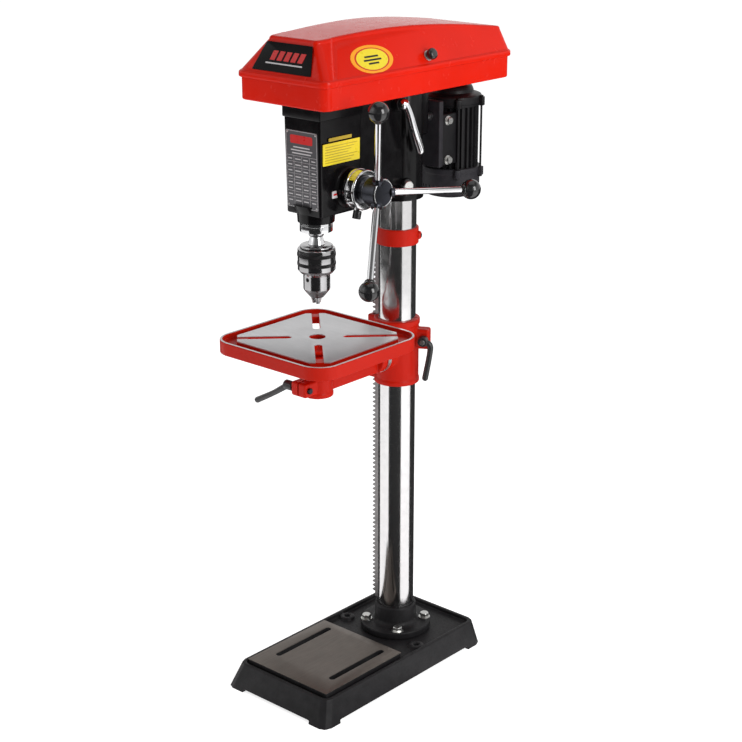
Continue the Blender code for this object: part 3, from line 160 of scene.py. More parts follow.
def shade(made, angle=35):
    made.data.shade_smooth()
    made.data.set_sharp_from_angle(angle=radians(angle))
    return made


def along(origin, direction, spin=0.0):
    """A placement whose Z axis runs along direction."""
    turn = Vector(direction).to_track_quat("Z", "Y").to_matrix().to_4x4()
    return Matrix.Translation(origin) @ turn @ Matrix.Rotation(spin, 4, "Z")


def axes(origin, x_axis, y_axis):
    """A placement with the given X and Y axes."""
    x_axis = Vector(x_axis).normalized()
    y_axis = Vector(y_axis).normalized()
    turn = Matrix((x_axis, y_axis, x_axis.cross(y_axis))).transposed()
    return Matrix.Translation(origin) @ turn.to_4x4()


def eased(points, radius, closed=False, steps=4):
    """A polyline whose corners are rounded; a corner that is too tight takes a smaller radius."""
    points = [Vector(point) for point in points]
    count = len(points)
    out = []
    for i, here in enumerate(points):
        if not closed and i in (0, count - 1):
            out.append(here)
            continue
        back, ahead = points[i - 1] - here, points[(i + 1) % count] - here
        reach = min(radius, back.length * 0.45, ahead.length * 0.45)
        if reach < 1e-6 or back.angle(ahead) > radians(176):
            out.append(here)
            continue
        start, end = here + back.normalized() * reach, here + ahead.normalized() * reach
        for step in range(steps + 1):
            t = step / steps
            out.append(start * (1 - t) ** 2 + here * 2 * t * (1 - t) + end * t ** 2)
    return out


def lathe(profile, place=None, sides=FINE, ease=0.0006, wave=None):
    """A profile of (radius, height) points turned about local Z.

    A profile whose ends are on the axis makes a solid one; any other is closed into a ring.
    wave(turn, height) is a radius to add, for flutes and knurls.
    """
    solid = abs(profile[0][0]) < 1e-9 and abs(profile[-1][0]) < 1e-9
    line = eased([Vector((r, z)) for r, z in profile], ease, closed=not solid, steps=3)
    form = bmesh.new()
    rows = []
    for point in line:
        if abs(point.x) < 1e-9:
            rows.append([form.verts.new((0, 0, point.y))] * sides)
            continue
        row = []
        for side in range(sides):
            turn = 2 * pi * side / sides
            radius = point.x + (wave(turn, point.y) if wave else 0.0)
            row.append(form.verts.new((radius * cos(turn), radius * sin(turn), point.y)))
        rows.append(row)
    pairs = list(zip(rows, rows[1:])) + ([] if solid else [(rows[-1], rows[0])])
    for near, far in pairs:
        for side in range(sides):
            after = (side + 1) % sides
            ring = []
            for corner in (near[side], near[after], far[after], far[side]):
                if corner not in ring:
                    ring.append(corner)
            if len(ring) > 2:
                form.faces.new(ring)
    bmesh.ops.recalc_face_normals(form, faces=form.faces)
    return from_form(form, "lathe", place)


def rod(start, end, radius, sides=48, ease=0.0005):
    """A cylinder with eased ends."""
    start, end = Vector(start), Vector(end)
    length = (end - start).length
    return lathe([(0, length), (radius, length), (radius, 0), (0, 0)], along(start, end - start), sides,
                 ease)


def arc(centre, radius, start, end, steps):
    turns = [start + (end - start) * i / steps for i in range(steps + 1)]
    return [(centre[0] + radius * cos(t), centre[1] + radius * sin(t)) for t in turns]


def rounded_rectangle(low, high, corner, steps=12):
    (x0, y0), (x1, y1) = low, high
    centres = ((x1 - corner, y1 - corner), (x0 + corner, y1 - corner),
               (x0 + corner, y0 + corner), (x1 - corner, y0 + corner))
    outline = []
    for quarter, centre in enumerate(centres):
        outline += arc(centre, corner, quarter * pi / 2, (quarter + 1) * pi / 2, steps)
    return outline


def slab(outline, low, high, place=None, ease=0.0, steps=3):
    """An outline in local XY given height from low to high, with eased edges."""
    form = bmesh.new()
    face = form.faces.new([form.verts.new((x, y, low)) for x, y in outline])
    grown = bmesh.ops.extrude_face_region(form, geom=[face])["geom"]
    raised = [item for item in grown if isinstance(item, bmesh.types.BMVert)]
    bmesh.ops.translate(form, verts=raised, vec=(0, 0, high - low))
    bmesh.ops.recalc_face_normals(form, faces=form.faces)
    if ease:
        ease_edges(form, ease, steps)
    return from_form(form, "slab", place)


def block(low, high, ease=0.0, place=None, steps=3):
    """A box between two corners, with eased edges."""
    outline = [(low[0], low[1]), (high[0], low[1]), (high[0], high[1]), (low[0], high[1])]
    return slab(outline, low[2], high[2], place, ease, steps)


def loft(rows, place=None):
    """A solid through rows of (outline, height), whose outlines have as many points."""
    form = bmesh.new()
    rings = [[form.verts.new((x, y, height)) for x, y in outline] for outline, height in rows]
    for near, far in zip(rings, rings[1:]):
        for i in range(len(near)):
            j = (i + 1) % len(near)
            form.faces.new((near[i], near[j], far[j], far[i]))
    form.faces.new(rings[0][::-1])
    form.faces.new(rings[-1])
    bmesh.ops.recalc_face_normals(form, faces=form.faces)
    return from_form(form, "loft", place)


def turned_to(angle):
    """A turn about the column's axis, for shapes that are drawn along +X."""
    return Matrix.Rotation(angle, 4, "Z")


def ease_edges(form, width, steps=3, angle=30):
    """Bevels the edges of a form that are sharper than an angle."""
    sharp = [edge for edge in form.edges if len(edge.link_faces) == 2
             and edge.calc_face_angle(0) > radians(angle)]
    bmesh.ops.bevel(form, geom=sharp, offset=width, segments=steps, profile=0.5, affect="EDGES",
                    clamp_overlap=True)


def tube(points, radii, sides=32, smooth_steps=6):
    """A round bar along points with its own radius at each, and domed ends."""
    points = [Vector(point) for point in points]
    line, sizes = [], []
    count = len(points)
    for i in range(count - 1):
        p0, p1, p2, p3 = (points[max(i - 1, 0)], points[i], points[i + 1], points[min(i + 2, count - 1)])
        for step in range(smooth_steps):
            t = step / smooth_steps
            line.append(0.5 * (2 * p1 + (p2 - p0) * t + (2 * p0 - 5 * p1 + 4 * p2 - p3) * t * t
                               + (3 * p1 - 3 * p2 + p3 - p0) * t ** 3))
            sizes.append(radii[i] + (radii[i + 1] - radii[i]) * t)
    line.append(points[-1])
    sizes.append(radii[-1])
    for end, inner in ((0, 1), (-1, -2)):
        outwards = (line[end] - line[inner]).normalized()
        dome = [(line[end] + outwards * sizes[end] * sin(a), sizes[end] * cos(a))
                for a in (0.5, 0.95, 1.3)]
        if end == 0:
            line = [p for p, _ in reversed(dome)] + line
            sizes = [r for _, r in reversed(dome)] + sizes
        else:
            line += [p for p, _ in dome]
            sizes += [r for _, r in dome]
    form = bmesh.new()
    rows = []
    side_axis = (line[1] - line[0]).orthogonal().normalized()
    for i, (centre, size) in enumerate(zip(line, sizes)):
        forward = (line[min(i + 1, len(line) - 1)] - line[max(i - 1, 0)]).normalized()
        side_axis = (side_axis - forward * side_axis.dot(forward)).normalized()
        other = forward.cross(side_axis)
        rows.append([form.verts.new(centre + (side_axis * cos(2 * pi * s / sides)
                                              + other * sin(2 * pi * s / sides)) * size)
                     for s in range(sides)])
    for near, far in zip(rows, rows[1:]):
        for side in range(sides):
            after = (side + 1) % sides
            form.faces.new((near[side], near[after], far[after], far[side]))
    form.faces.new(rows[0][::-1])
    form.faces.new(rows[-1])
    bmesh.ops.recalc_face_normals(form, faces=form.faces)
    return from_form(form, "tube")


def packed_copy(node):
    """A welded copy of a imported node's mesh."""
    form = bmesh.new()
    form.from_mesh(frame["nodes"][node].data)
    bmesh.ops.remove_doubles(form, verts=form.verts, dist=1e-6)
    return from_form(form, node + "_copy")


def baked(made):
    """The object with its modifiers applied."""
    graph = bpy.context.evaluated_depsgraph_get()
    mesh = bpy.data.meshes.new_from_object(made.evaluated_get(graph))
    made.modifiers.clear()
    made.data = mesh
    return made


def carve(made, add=(), remove=()):
    """Joins shapes to an object, then cuts others out of it. The tools are used up."""
    for tools, operation in ((add, "UNION"), (remove, "DIFFERENCE")):
        for tool in tools:
            step = made.modifiers.new("carve", "BOOLEAN")
            step.operation = operation
            step.solver = "EXACT"
            step.object = tool
    baked(made)
    for tool in (*add, *remove):
        bpy.data.objects.remove(tool)
    return made


def cast(made, voxel=0.0012, smoothing=5, share=0.45):
    """Gives a carved shape the soft edges and fillets of a casting."""
    skin = made.modifiers.new("skin", "REMESH")
    skin.mode = "VOXEL"
    skin.voxel_size = voxel
    soft = made.modifiers.new("soft", "SMOOTH")
    soft.factor = 0.5
    soft.iterations = smoothing
    thin = made.modifiers.new("thin", "DECIMATE")
    thin.ratio = share
    baked(made)
    made.data.shade_smooth()
    return made


def joined(shapes):
    """Several shapes as one object."""
    form = bmesh.new()
    for shape in shapes:
        if shape.matrix_world != Matrix.Identity(4):
            shape.data.transform(shape.matrix_world)
        form.from_mesh(shape.data)
        bpy.data.objects.remove(shape)
    return from_form(form, "joined")


def piece(made, name, body, look, nodes=(), angle=35, smooth=True):
    """Names a finished piece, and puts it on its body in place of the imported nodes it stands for."""
    made.name = name
    made.data.name = name
    if smooth:
        shade(made, angle)
    made.data.materials.clear()
    made.data.materials.append(look)
    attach(made, body)
    if nodes:
        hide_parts(*nodes)
    return made


def kept_node(node, look):
    """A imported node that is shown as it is, with a better material."""
    packed = frame["nodes"][node]
    packed.data.materials.clear()
    packed.data.materials.append(look)


def hexagon(across, height, place, chamfer=0.12):
    """A bolt head or a nut: a hexagonal prism whose corners are turned off at the top."""
    reach = across / sqrt(3)
    outline = [(reach * cos(i * pi / 3), reach * sin(i * pi / 3)) for i in range(6)]
    prism = slab(outline, 0, height, ease=0.0002, steps=2)
    turned_off = lathe([(0, height * 1.001), (across * 0.47, height * 1.001),
                        (reach * 1.01, height * (1 - chamfer * 2)),
                        (reach * 1.01, -0.001), (0, -0.001)], sides=48, ease=0)
    step = prism.modifiers.new("turned_off", "BOOLEAN")
    step.operation = "INTERSECT"
    step.object = turned_off
    baked(prism)
    bpy.data.objects.remove(turned_off)
    prism.data.transform(place)
    return prism


def hex_bolt(across, place):
    """A hexagonal bolt head on a washer, seated on the placement's XY plane."""
    thick, radius = across * 0.11, across * 0.72
    washer = lathe([(0, thick), (radius, thick), (radius, 0), (0, 0)], place, 40, 0.0003)
    head = hexagon(across, across * 0.52, place @ Matrix.Translation((0, 0, thick)))
    return joined([washer, head])


def cross_screw(radius, place):
    """A pan-head screw with a cross recess, seated on the placement's XY plane."""
    head = lathe([(0, radius * 0.62), (radius * 0.55, radius * 0.55), (radius * 0.9, radius * 0.3),
                  (radius, 0), (0, 0)], sides=32, ease=radius * 0.15)
    arm, deep = radius * 0.13, radius * 0.25
    first = block((-radius * 0.55, -arm, deep), (radius * 0.55, arm, radius))
    second = block((-arm, -radius * 0.55, deep), (arm, radius * 0.55, radius))
    carve(head, remove=(first, second))
    head.data.transform(place)
    return head


def socket_screw(radius, length, place):
    """A set screw with a hexagonal socket, its end on the placement's XY plane."""
    body = lathe([(0, 0), (radius, 0), (radius, -length), (0, -length)], sides=32, ease=radius * 0.12)
    reach = radius * 0.62
    socket = slab([(reach * cos(i * pi / 3), reach * sin(i * pi / 3)) for i in range(6)], -radius, radius)
    carve(body, remove=(socket,))
    body.data.transform(place)
    return body


# ---------------------------------------------------------------- materials

class Look:
    """A Principled material and the nodes that give it its surface."""

    def __init__(self, name, colour, roughness, metallic=0.0, coat=0.0, gloss=0.5):
        self.material = bpy.data.materials.new(name)
        self.material.use_nodes = True
        self.tree = self.material.node_tree
        self.shader = self.tree.nodes["Principled BSDF"]
        self.shader.inputs["Base Color"].default_value = (*colour, 1)
        self.shader.inputs["Roughness"].default_value = roughness
        self.shader.inputs["Metallic"].default_value = metallic
        self.shader.inputs["Coat Weight"].default_value = coat
        self.shader.inputs["Coat Roughness"].default_value = 0.04
        self.shader.inputs["Specular IOR Level"].default_value = gloss
        self.place = self.tree.nodes.new("ShaderNodeTexCoord").outputs["Object"]
        self.normal = None

    def node(self, kind, **inputs):
        made = self.tree.nodes.new(kind)
        for name, value in inputs.items():
            socket = made.inputs[name.replace("_", " ")]
            if isinstance(value, bpy.types.NodeSocket):
                self.tree.links.new(value, socket)
            else:
                socket.default_value = value
        return made

    def noise(self, scale, detail=3.0, stretch=(1, 1, 1), rough=0.5):
        vector = self.place
        if stretch != (1, 1, 1):
            vector = self.node("ShaderNodeMapping", Vector=self.place, Scale=stretch).outputs[0]
        return self.node("ShaderNodeTexNoise", Vector=vector, Scale=scale, Detail=detail,
                         Roughness=rough).outputs["Fac"]

    def ramp(self, value, low, high, start=0.3, end=0.7):
        return self.node("ShaderNodeMapRange", Value=value, From_Min=start, From_Max=end,
                         To_Min=low, To_Max=high).outputs[0]

    def blend(self, share, first, second):
        mix = self.tree.nodes.new("ShaderNodeMix")
        mix.data_type = "RGBA"
        self.tree.links.new(share, mix.inputs[0])
        for socket, value in ((mix.inputs[6], first), (mix.inputs[7], second)):
            if isinstance(value, bpy.types.NodeSocket):
                self.tree.links.new(value, socket)
            else:
                socket.default_value = (*value, 1)
        return mix.outputs[2]

    def product(self, first, second):
        node = self.tree.nodes.new("ShaderNodeMath")
        node.operation = "MULTIPLY"
        self.tree.links.new(first, node.inputs[0])
        self.tree.links.new(second, node.inputs[1])
        return node.outputs[0]

    def colour(self, socket):
        self.tree.links.new(socket, self.shader.inputs["Base Color"])

    def roughness(self, socket):
        self.tree.links.new(socket, self.shader.inputs["Roughness"])

    def bump(self, height, distance, strength=1.0):
        node = self.node("ShaderNodeBump", Height=height, Distance=distance, Strength=strength)
        if self.normal is not None:
            self.tree.links.new(self.normal, node.inputs["Normal"])
        self.normal = node.outputs[0]
        self.tree.links.new(self.normal, self.shader.inputs["Normal"])

    def edges(self, start=0.53, end=0.60):
        """1 where the surface is sharply convex, where paint wears and where the enamel's painted highlight lies.
        """
        point = self.tree.nodes.new("ShaderNodeNewGeometry").outputs["Pointiness"]
        return self.ramp(point, 0.0, 1.0, start, end)


def enamel(name, colour, edge_wear_and_highlight, roughness=0.24, peel=0.00002, gloss=0.15):
    """Glossy sprayed enamel with a faint orange peel, lighter on its convex edges: partly edge wear, partly a
    painted highlight.
    """
    look = Look(name, colour, roughness, gloss=gloss)
    cloud = look.noise(6, 2)
    thin = look.ramp(look.noise(90, 4), 0.0, 0.08)
    shade_of = look.blend(look.ramp(cloud, 0.0, 1.0), colour, tuple(c * 0.88 for c in colour))
    # Convex edges take a patchy share of the lighter edge colour: edge wear and a painted highlight.
    edge = look.edges()
    look.colour(look.blend(look.product(edge, thin), shade_of, edge_wear_and_highlight))
    look.roughness(look.ramp(look.noise(60, 3), roughness - 0.03, roughness + 0.06))
    look.bump(look.noise(220, 2), peel, 0.6)
    return look.material


def cast_paint(name, colour, roughness=0.46, grain=0.00016, lumps=0.0003):
    """Paint over sand-cast iron: a fine grain over low lumps."""
    look = Look(name, colour, roughness, gloss=0.18)
    dust = look.ramp(look.noise(45, 5), 0.0, 0.5)
    lighter = tuple(c * 1.9 + 0.003 for c in colour)
    look.colour(look.blend(dust, colour, lighter))
    look.roughness(look.ramp(look.noise(260, 3), roughness - 0.08, roughness + 0.12))
    look.bump(look.noise(85, 3), lumps, 0.6)
    look.bump(look.noise(900, 3, rough=0.6), grain, 0.8)
    return look.material


def ground_steel(name, colour, roughness=0.28, stretch=(0.02, 1, 1), lines=0.00002, spots=0.25):
    """Bare machined metal with fine parallel marks of the tool; stretch is small along them."""
    look = Look(name, colour, roughness, metallic=1.0)
    stain = look.ramp(look.noise(28, 6, rough=0.62), 0.0, spots)
    look.colour(look.blend(stain, colour, tuple(c * 0.62 for c in colour)))
    marks = look.noise(1500, 2, stretch)
    look.roughness(look.ramp(marks, roughness - 0.07, roughness + 0.12))
    look.bump(marks, lines, 0.7)
    return look.material


def chrome(name, colour=(0.74, 0.74, 0.75), roughness=0.07, stretch=(1, 1, 1)):
    """Bright plated steel: nearly a mirror, with a trace of polishing marks."""
    look = Look(name, colour, roughness, metallic=1.0)
    haze = look.noise(60, 4)
    look.roughness(look.ramp(haze, roughness, roughness + 0.07))
    look.colour(look.blend(look.ramp(haze, 0.0, 1.0), colour, tuple(c * 0.93 for c in colour)))
    look.bump(look.noise(700, 2, stretch), 0.000004, 0.5)
    return look.material


def moulded(name, colour, roughness=0.2, grain=0.00002, scale=500, coat=0.3):
    """Moulded plastic: gloss with a slight grain."""
    look = Look(name, colour, roughness, coat=coat)
    look.roughness(look.ramp(look.noise(70, 3), roughness - 0.04, roughness + 0.1))
    look.colour(look.blend(look.ramp(look.noise(20, 3), 0.0, 1.0), colour,
                           tuple(c * 1.25 + 0.002 for c in colour)))
    look.bump(look.noise(scale, 2), grain)
    return look.material


def belt_rubber():
    """Cord-wrapped rubber with the ribs of its threads."""
    look = Look("belt_rubber", (0.018, 0.018, 0.019), 0.75)
    first = look.node("ShaderNodeTexWave", Vector=look.place, Scale=260).outputs["Fac"]
    look.colour(look.blend(look.ramp(look.noise(120, 4), 0.0, 1.0), (0.014, 0.014, 0.015),
                           (0.035, 0.034, 0.033)))
    look.bump(first, 0.00015, 0.6)
    look.bump(look.noise(600, 3), 0.0001, 0.6)
    return look.material


def printed(name, colour, roughness=0.35, gloss=0.35):
    """A printed foil plate: flat ink with a faint mottle."""
    look = Look(name, colour, roughness, gloss=gloss)
    look.colour(look.blend(look.ramp(look.noise(300, 3), 0.0, 0.4), colour, tuple(c * 0.8 for c in colour)))
    look.roughness(look.ramp(look.noise(80, 3), roughness - 0.05, roughness + 0.1))
    look.bump(look.noise(900, 2), 0.00001)
    return look.material


RED = (0.65, 0.0105, 0.0015)
BLACK = (0.0035, 0.0032, 0.0037)
# An enamel's third colour is its lighter edge colour: partly edge wear, partly a painted highlight.
RED_SHEET = enamel("red_sheet_enamel", RED, (0.68, 0.06, 0.04), 0.22)
RED_CAST = enamel("red_cast_enamel", (0.50, 0.0095, 0.0015), (0.58, 0.04, 0.02), 0.36, 0.00006, 0.13)
BLACK_ENAMEL = enamel("black_head_enamel", BLACK, (0.012, 0.012, 0.013), 0.20, 0.00001, 0.20)
BLACK_CAST = cast_paint("black_cast_paint", (0.012, 0.0115, 0.0125))
BLACK_MOTOR = cast_paint("black_motor_paint", (0.0045, 0.0042, 0.0050), 0.38, 0.00006, 0.0001)
GREY_MOTOR = cast_paint("grey_bracket_paint", (0.016, 0.015, 0.018), 0.42, 0.00005, 0.0001)
COLUMN_STEEL = chrome("column_steel", (0.70, 0.69, 0.69), 0.10, (1, 1, 12))
CHROME = chrome("plated_steel")
CHUCK_STEEL = chrome("chuck_steel", (0.42, 0.415, 0.42), 0.10, (1, 1, 8))
TABLE_IRON = ground_steel("ground_table_iron", (0.66, 0.66, 0.67), 0.42, (0.015, 1, 1), 0.00003, 0.18)
PAD_IRON = ground_steel("milled_pad_iron", (0.20, 0.175, 0.155), 0.46, (1, 0.015, 1), 0.00004, 0.35)
STEEL = ground_steel("bright_steel", (0.56, 0.56, 0.57), 0.26, (1, 1, 0.05))
BOLT_STEEL = ground_steel("zinc_steel", (0.66, 0.66, 0.64), 0.30, (1, 1, 1), 0.00001, 0.3)
RACK_STEEL = ground_steel("rack_steel", (0.26, 0.25, 0.25), 0.38, (1, 1, 0.05), 0.00003, 0.5)
HUB_STEEL = ground_steel("blacked_steel", (0.050, 0.052, 0.062), 0.30, (0.3, 1, 1), 0.00001, 0.2)
KNURL_STEEL = ground_steel("knurled_steel", (0.035, 0.034, 0.035), 0.34, (1, 1, 1), 0.00001, 0.2)
TURNED_ALUMINIUM = ground_steel("turned_aluminium", (0.78, 0.78, 0.79), 0.30, (0.05, 0.05, 1), 0.00002, 0.1)
BLACK_PLASTIC = moulded("black_phenolic", (0.008, 0.008, 0.0085), 0.13)
SATIN_PLASTIC = moulded("black_moulding", (0.014, 0.014, 0.015), 0.34, 0.00004, 700, 0.0)
GREEN_PLASTIC = moulded("green_button", (0.02, 0.30, 0.06), 0.22)
RED_PLASTIC = moulded("red_button", (0.60, 0.015, 0.012), 0.22)
BELT_RUBBER = belt_rubber()
PLATE_BLACK = printed("plate_black", (0.0025, 0.0025, 0.0028), 0.22, 0.08)
PLATE_GREY = printed("plate_grey", (0.070, 0.067, 0.073), 0.34)
PLATE_PALE = printed("plate_pale", (0.55, 0.53, 0.54), 0.34)
PLATE_YELLOW = printed("plate_yellow", (0.78, 0.62, 0.025), 0.30)
PLATE_OLIVE = printed("plate_olive", (0.42, 0.30, 0.02), 0.34)
PLATE_RED = printed("plate_red", (0.55, 0.012, 0.012), 0.30)
PLATE_ORANGE = printed("plate_orange", (0.88, 0.34, 0.012), 0.30)
INK = printed("black_ink", (0.010, 0.010, 0.010), 0.5)


# ---------------------------------------------------------------- base and column

def make_base():
    """The base: a re-moulded casting, its machined pad face and the floor bolts' ring bosses."""
    body = packed_copy("base_casting")
    deck = 0.042
    bosses = [lathe([(0.0072, deck + 0.0062), (0.0145, deck + 0.0058), (0.0165, deck - 0.002),
                     (0.0072, deck - 0.002)],
                    Matrix.Translation((x, -0.045, 0)), 48, 0.001) for x in (-0.094, 0.094)]
    seat = lathe([(0.0380, deck + 0.0004), (0.0800, deck + 0.0004), (0.0815, deck - 0.004),
                  (0.0380, deck - 0.004)],
                 sides=FINE, ease=0.0005)
    step = BASE.low.z + 0.0085
    inset = 0.0016
    low = (BASE.low.x, BASE.low.y, BASE.high.x, BASE.high.y)
    outline = rounded_rectangle((low[0] - 0.002, low[1] - 0.002), (low[2] + 0.002, low[3] + 0.002), 0.018)
    core = rounded_rectangle((low[0] + inset, low[1] + inset), (low[2] - inset, low[3] - inset), 0.0155)
    lip = slab(outline, step, step + 0.0014)
    carve(lip, remove=(slab(core, step - 0.01, step + 0.02),))
    carve(body, add=(*bosses, seat), remove=(lip,))
    cast(body, 0.0013, 4, 0.4)
    piece(body, "base_body", "root", BLACK_CAST, ("base_casting",), smooth=False)

    pad_low, pad_high = (-0.105, -0.324), (0.105, -0.104)
    face = slab([pad_low, (pad_high[0], pad_low[1]), pad_high, (pad_low[0], pad_high[1])],
                BASE_PAD - 0.0012, BASE_PAD + 0.0003, ease=0.0003, steps=2)
    slots = []
    for x in (-0.072, 0.072):
        ends = (-0.277 + 0.0065, -0.122 - 0.0065)
        outline = arc((x, ends[1]), 0.0067, 0, pi, 20) + arc((x, ends[0]), 0.0067, pi, 2 * pi, 20)
        slots.append(slab(outline, BASE_PAD - 0.01, BASE_PAD + 0.01))
    carve(face, remove=slots)
    piece(face, "base_pad_face", "root", PAD_IRON, angle=25)


def make_flange():
    """The column's cast flange, its four spot-faced holes and their bolts."""
    low, high = FLANGE.low.z, FLANGE.high.z
    radius, hub, top, bore = FLANGE.size.x / 2, 0.042, 0.058, COLUMN_RADIUS + GAP
    body = lathe([(bore, high), (hub - 0.002, high), (hub, high - 0.0025), (hub + 0.0006, top + 0.008),
                  (hub + 0.003, top + 0.0025), (hub + 0.008, top), (radius - 0.001, top),
                  (radius, top - 0.0022),
                  (radius, low + 0.004), (radius - 0.0012, low), (bore, low)], sides=FINE, ease=0.0016)
    reach = 0.060 / sqrt(2)
    places = [Vector((x * reach, y * reach, 0)) for x, y in ((-1, -1), (1, -1), (1, 1), (-1, 1))]
    holes = [rod(at + UP * (low - 0.01), at + UP * (top + 0.01), 0.0054, 24, 0) for at in places]
    spots = [rod(at + UP * (top - 0.0004), at + UP * (top + 0.012), 0.0115, 32, 0) for at in places]
    carve(body, remove=(*holes, *spots))
    piece(body, "column_flange_body", "root", BLACK_CAST, ("column_flange",), 32)
    for number, at in enumerate(places, 1):
        spin = radians(17 + 23 * number)
        bolt = hex_bolt(0.0165, along(at + UP * (top - 0.0002), UP, spin))
        shank = rod(at + UP * (low - 0.010), at + UP * (top + 0.001), 0.0050, 24, 0.0004)
        piece(joined([bolt, shank]), f"flange_bolt_{number}_detail", "root", BOLT_STEEL,
              (f"flange_bolt_{number}",), 30)


def make_column():
    """The plated tube of the column."""
    low, high, wall = COLUMN.low.z, COLUMN.high.z, 0.004
    tube_profile = [(COLUMN_RADIUS - wall, high), (COLUMN_RADIUS, high), (COLUMN_RADIUS, low),
                    (COLUMN_RADIUS - wall, low)]
    piece(lathe(tube_profile, sides=160, ease=0.0008), "column_tube", "root", COLUMN_STEEL,
          ("column",), 30)


def make_rack():
    """The rack keeps its packed teeth."""
    kept_node("column_rack", RACK_STEEL)


def make_collar():
    """The ring that holds the rack's upper end, with its set screw."""
    bore, radius = COLUMN_RADIUS + GAP, 0.041
    low, high = COLLAR.low.z, COLLAR.high.z
    ring = lathe([(bore, high), (radius - 0.0008, high), (radius, high - 0.0015), (radius, low + 0.0015),
                  (radius - 0.0008, low), (bore, low)], sides=FINE, ease=0.0008)
    out = Vector((cos(CLAMP_TURN), sin(CLAMP_TURN), 0))
    centre = UP * ((low + high) / 2)
    lug = lathe([(0, 0.0085), (0.0062, 0.0085), (0.0078, 0.006), (0.0092, 0), (0, 0)],
                along(centre + out * 0.0378, out), 40, 0.001)
    hole = rod(centre + out * 0.030, centre + out * 0.060, 0.0036, 24, 0)
    carve(ring, add=(lug,), remove=(hole,))
    piece(ring, "rack_collar_ring", "root", RED_CAST, ("rack_collar",), 32)
    screw = socket_screw(0.0034, 0.008, along(centre + out * 0.0475, out))
    piece(screw, "rack_collar_set_screw", "root", HUB_STEEL, angle=30)


# ---------------------------------------------------------------- table group

def make_bracket():
    """The bracket's casting: a split sleeve with the lift's housing, a tilt boss and two clamp ears."""
    bore = COLUMN_RADIUS + GAP
    low, high = BRACKET.low.z, BRACKET.high.z
    tilt = axis_point("table_tilt")
    gear, worm_height = Extent("lift_gear").mid, Extent("lift_worm").mid.z
    rack, clamp = turned_to(RACK_TURN), turned_to(CLAMP_TURN)
    clamp_height = axis_point("bracket_lock_turn").z
    body = rod((0, 0, low), (0, 0, high), 0.0430, FINE, 0.0012)
    collar = rod((0, 0, high - 0.0115), (0, 0, high - 0.0003), 0.0450, FINE, 0.0012)
    foot = rod((0, 0, low + 0.0003), (0, 0, low + 0.0090), 0.0444, FINE, 0.0012)
    guide = block((0.028, -0.0160, low + 0.0006), (0.0597, 0.0160, high - 0.0008), 0.0030, rack)
    housing = block((0.048, -0.0198, low + 0.0062), (0.0918, 0.0198, gear.z + 0.0238), 0.0045, rack)
    boss = rod((0, -0.026, tilt.z), (0, tilt.y, tilt.z), 0.0310, FINE, 0.0014)
    ears = block((0.034, -0.0140, clamp_height - 0.0200), (0.0658, 0.0140, clamp_height + 0.0200), 0.0045,
                 clamp)
    side, clamp_side = rack @ Vector((0, 1, 0)), clamp @ Vector((0, 1, 0))
    clamp_hole = clamp @ Vector((0.056, 0, clamp_height))
    cuts = [rod((0, 0, low - 0.01), (0, 0, high + 0.01), bore + 0.0001, FINE, 0),
            block((0.0, -0.0097, low - 0.02), (0.0528, 0.0097, high + 0.02), place=rack),
            rod(gear - side * 0.0082, gear + side * 0.0082, 0.0184, 64, 0),
            rod(gear - side * 0.0300, gear + side * 0.0300, 0.0055, 32, 0),
            rod(rack @ Vector((0.045, 0, worm_height)), rack @ Vector((0.100, 0, worm_height)), 0.0068, 32,
                0),
            block((0.020, -0.0016, low - 0.03), (0.080, 0.0016, high + 0.03), place=clamp),
            rod(clamp_hole - clamp_side * 0.03, clamp_hole + clamp_side * 0.03, 0.0056, 32, 0),
            rod((0, -0.044, tilt.z), (0, tilt.y - 0.01, tilt.z), 0.0076, 32, 0)]
    cast(carve(body, add=(collar, foot, guide, housing, boss, ears)), 0.0012, 5, 0.5)
    carve(body, remove=cuts)
    piece(body, "table_bracket_casting", "bracket", RED_CAST, ("table_bracket",), 40)


def make_tilt_scale():
    """A pale arc with degree marks on the bracket's boss, beside the arm's disc."""
    tilt = axis_point("table_tilt")
    radius, thick, low_y, high_y = 0.0312, 0.0004, 0.0015, 0.0105
    first, last, steps = radians(-75), radians(27), 40
    form = bmesh.new()
    rows = []
    for step in range(steps + 1):
        turn = first + (last - first) * step / steps
        out = Vector((cos(turn), 0, sin(turn)))
        rows.append([form.verts.new(tilt + out * (radius + rise) + Vector((0, y, 0)))
                     for rise, y in ((0, low_y), (thick, low_y), (thick, high_y), (0, high_y))])
    for near, far in zip(rows, rows[1:]):
        for i in range(4):
            form.faces.new((near[i], near[(i + 1) % 4], far[(i + 1) % 4], far[i]))
    form.faces.new(rows[0][::-1])
    form.faces.new(rows[-1])
    bmesh.ops.recalc_face_normals(form, faces=form.faces)
    piece(from_form(form), "tilt_scale", "bracket", TURNED_ALUMINIUM, angle=30)
    marks = []
    for degree in range(-70, 26, 5):
        turn = radians(degree)
        out = Vector((cos(turn), 0, sin(turn)))
        across = Vector((-sin(turn), 0, cos(turn)))
        long = 0.0062 if degree % 15 == 0 else 0.0036
        place = axes(tilt + out * (radius + 0.0003), across, (0, 1, 0))
        marks.append(block((-0.00022, 0.0019, -0.0003), (0.00022, 0.0019 + long, 0.0003), place=place))
    piece(joined(marks), "tilt_scale_marks", "bracket", INK, smooth=False)


def make_tilt_bolt():
    """The bolt on which the arm tilts."""
    tilt = axis_point("table_tilt")
    head_y = Extent("tilt_bolt").low.y
    back_y = Extent("tilt_bolt").high.y
    head = hexagon(0.022, 0.0098, along((0, head_y + 0.0100, tilt.z), (0, -1, 0), radians(12)))
    shank = rod((0, back_y, tilt.z), (0, head_y + 0.009, tilt.z), 0.0069, 32, 0.0004)
    piece(joined([head, shank]), "tilt_bolt_detail", "bracket", BOLT_STEEL, ("tilt_bolt",), 30)


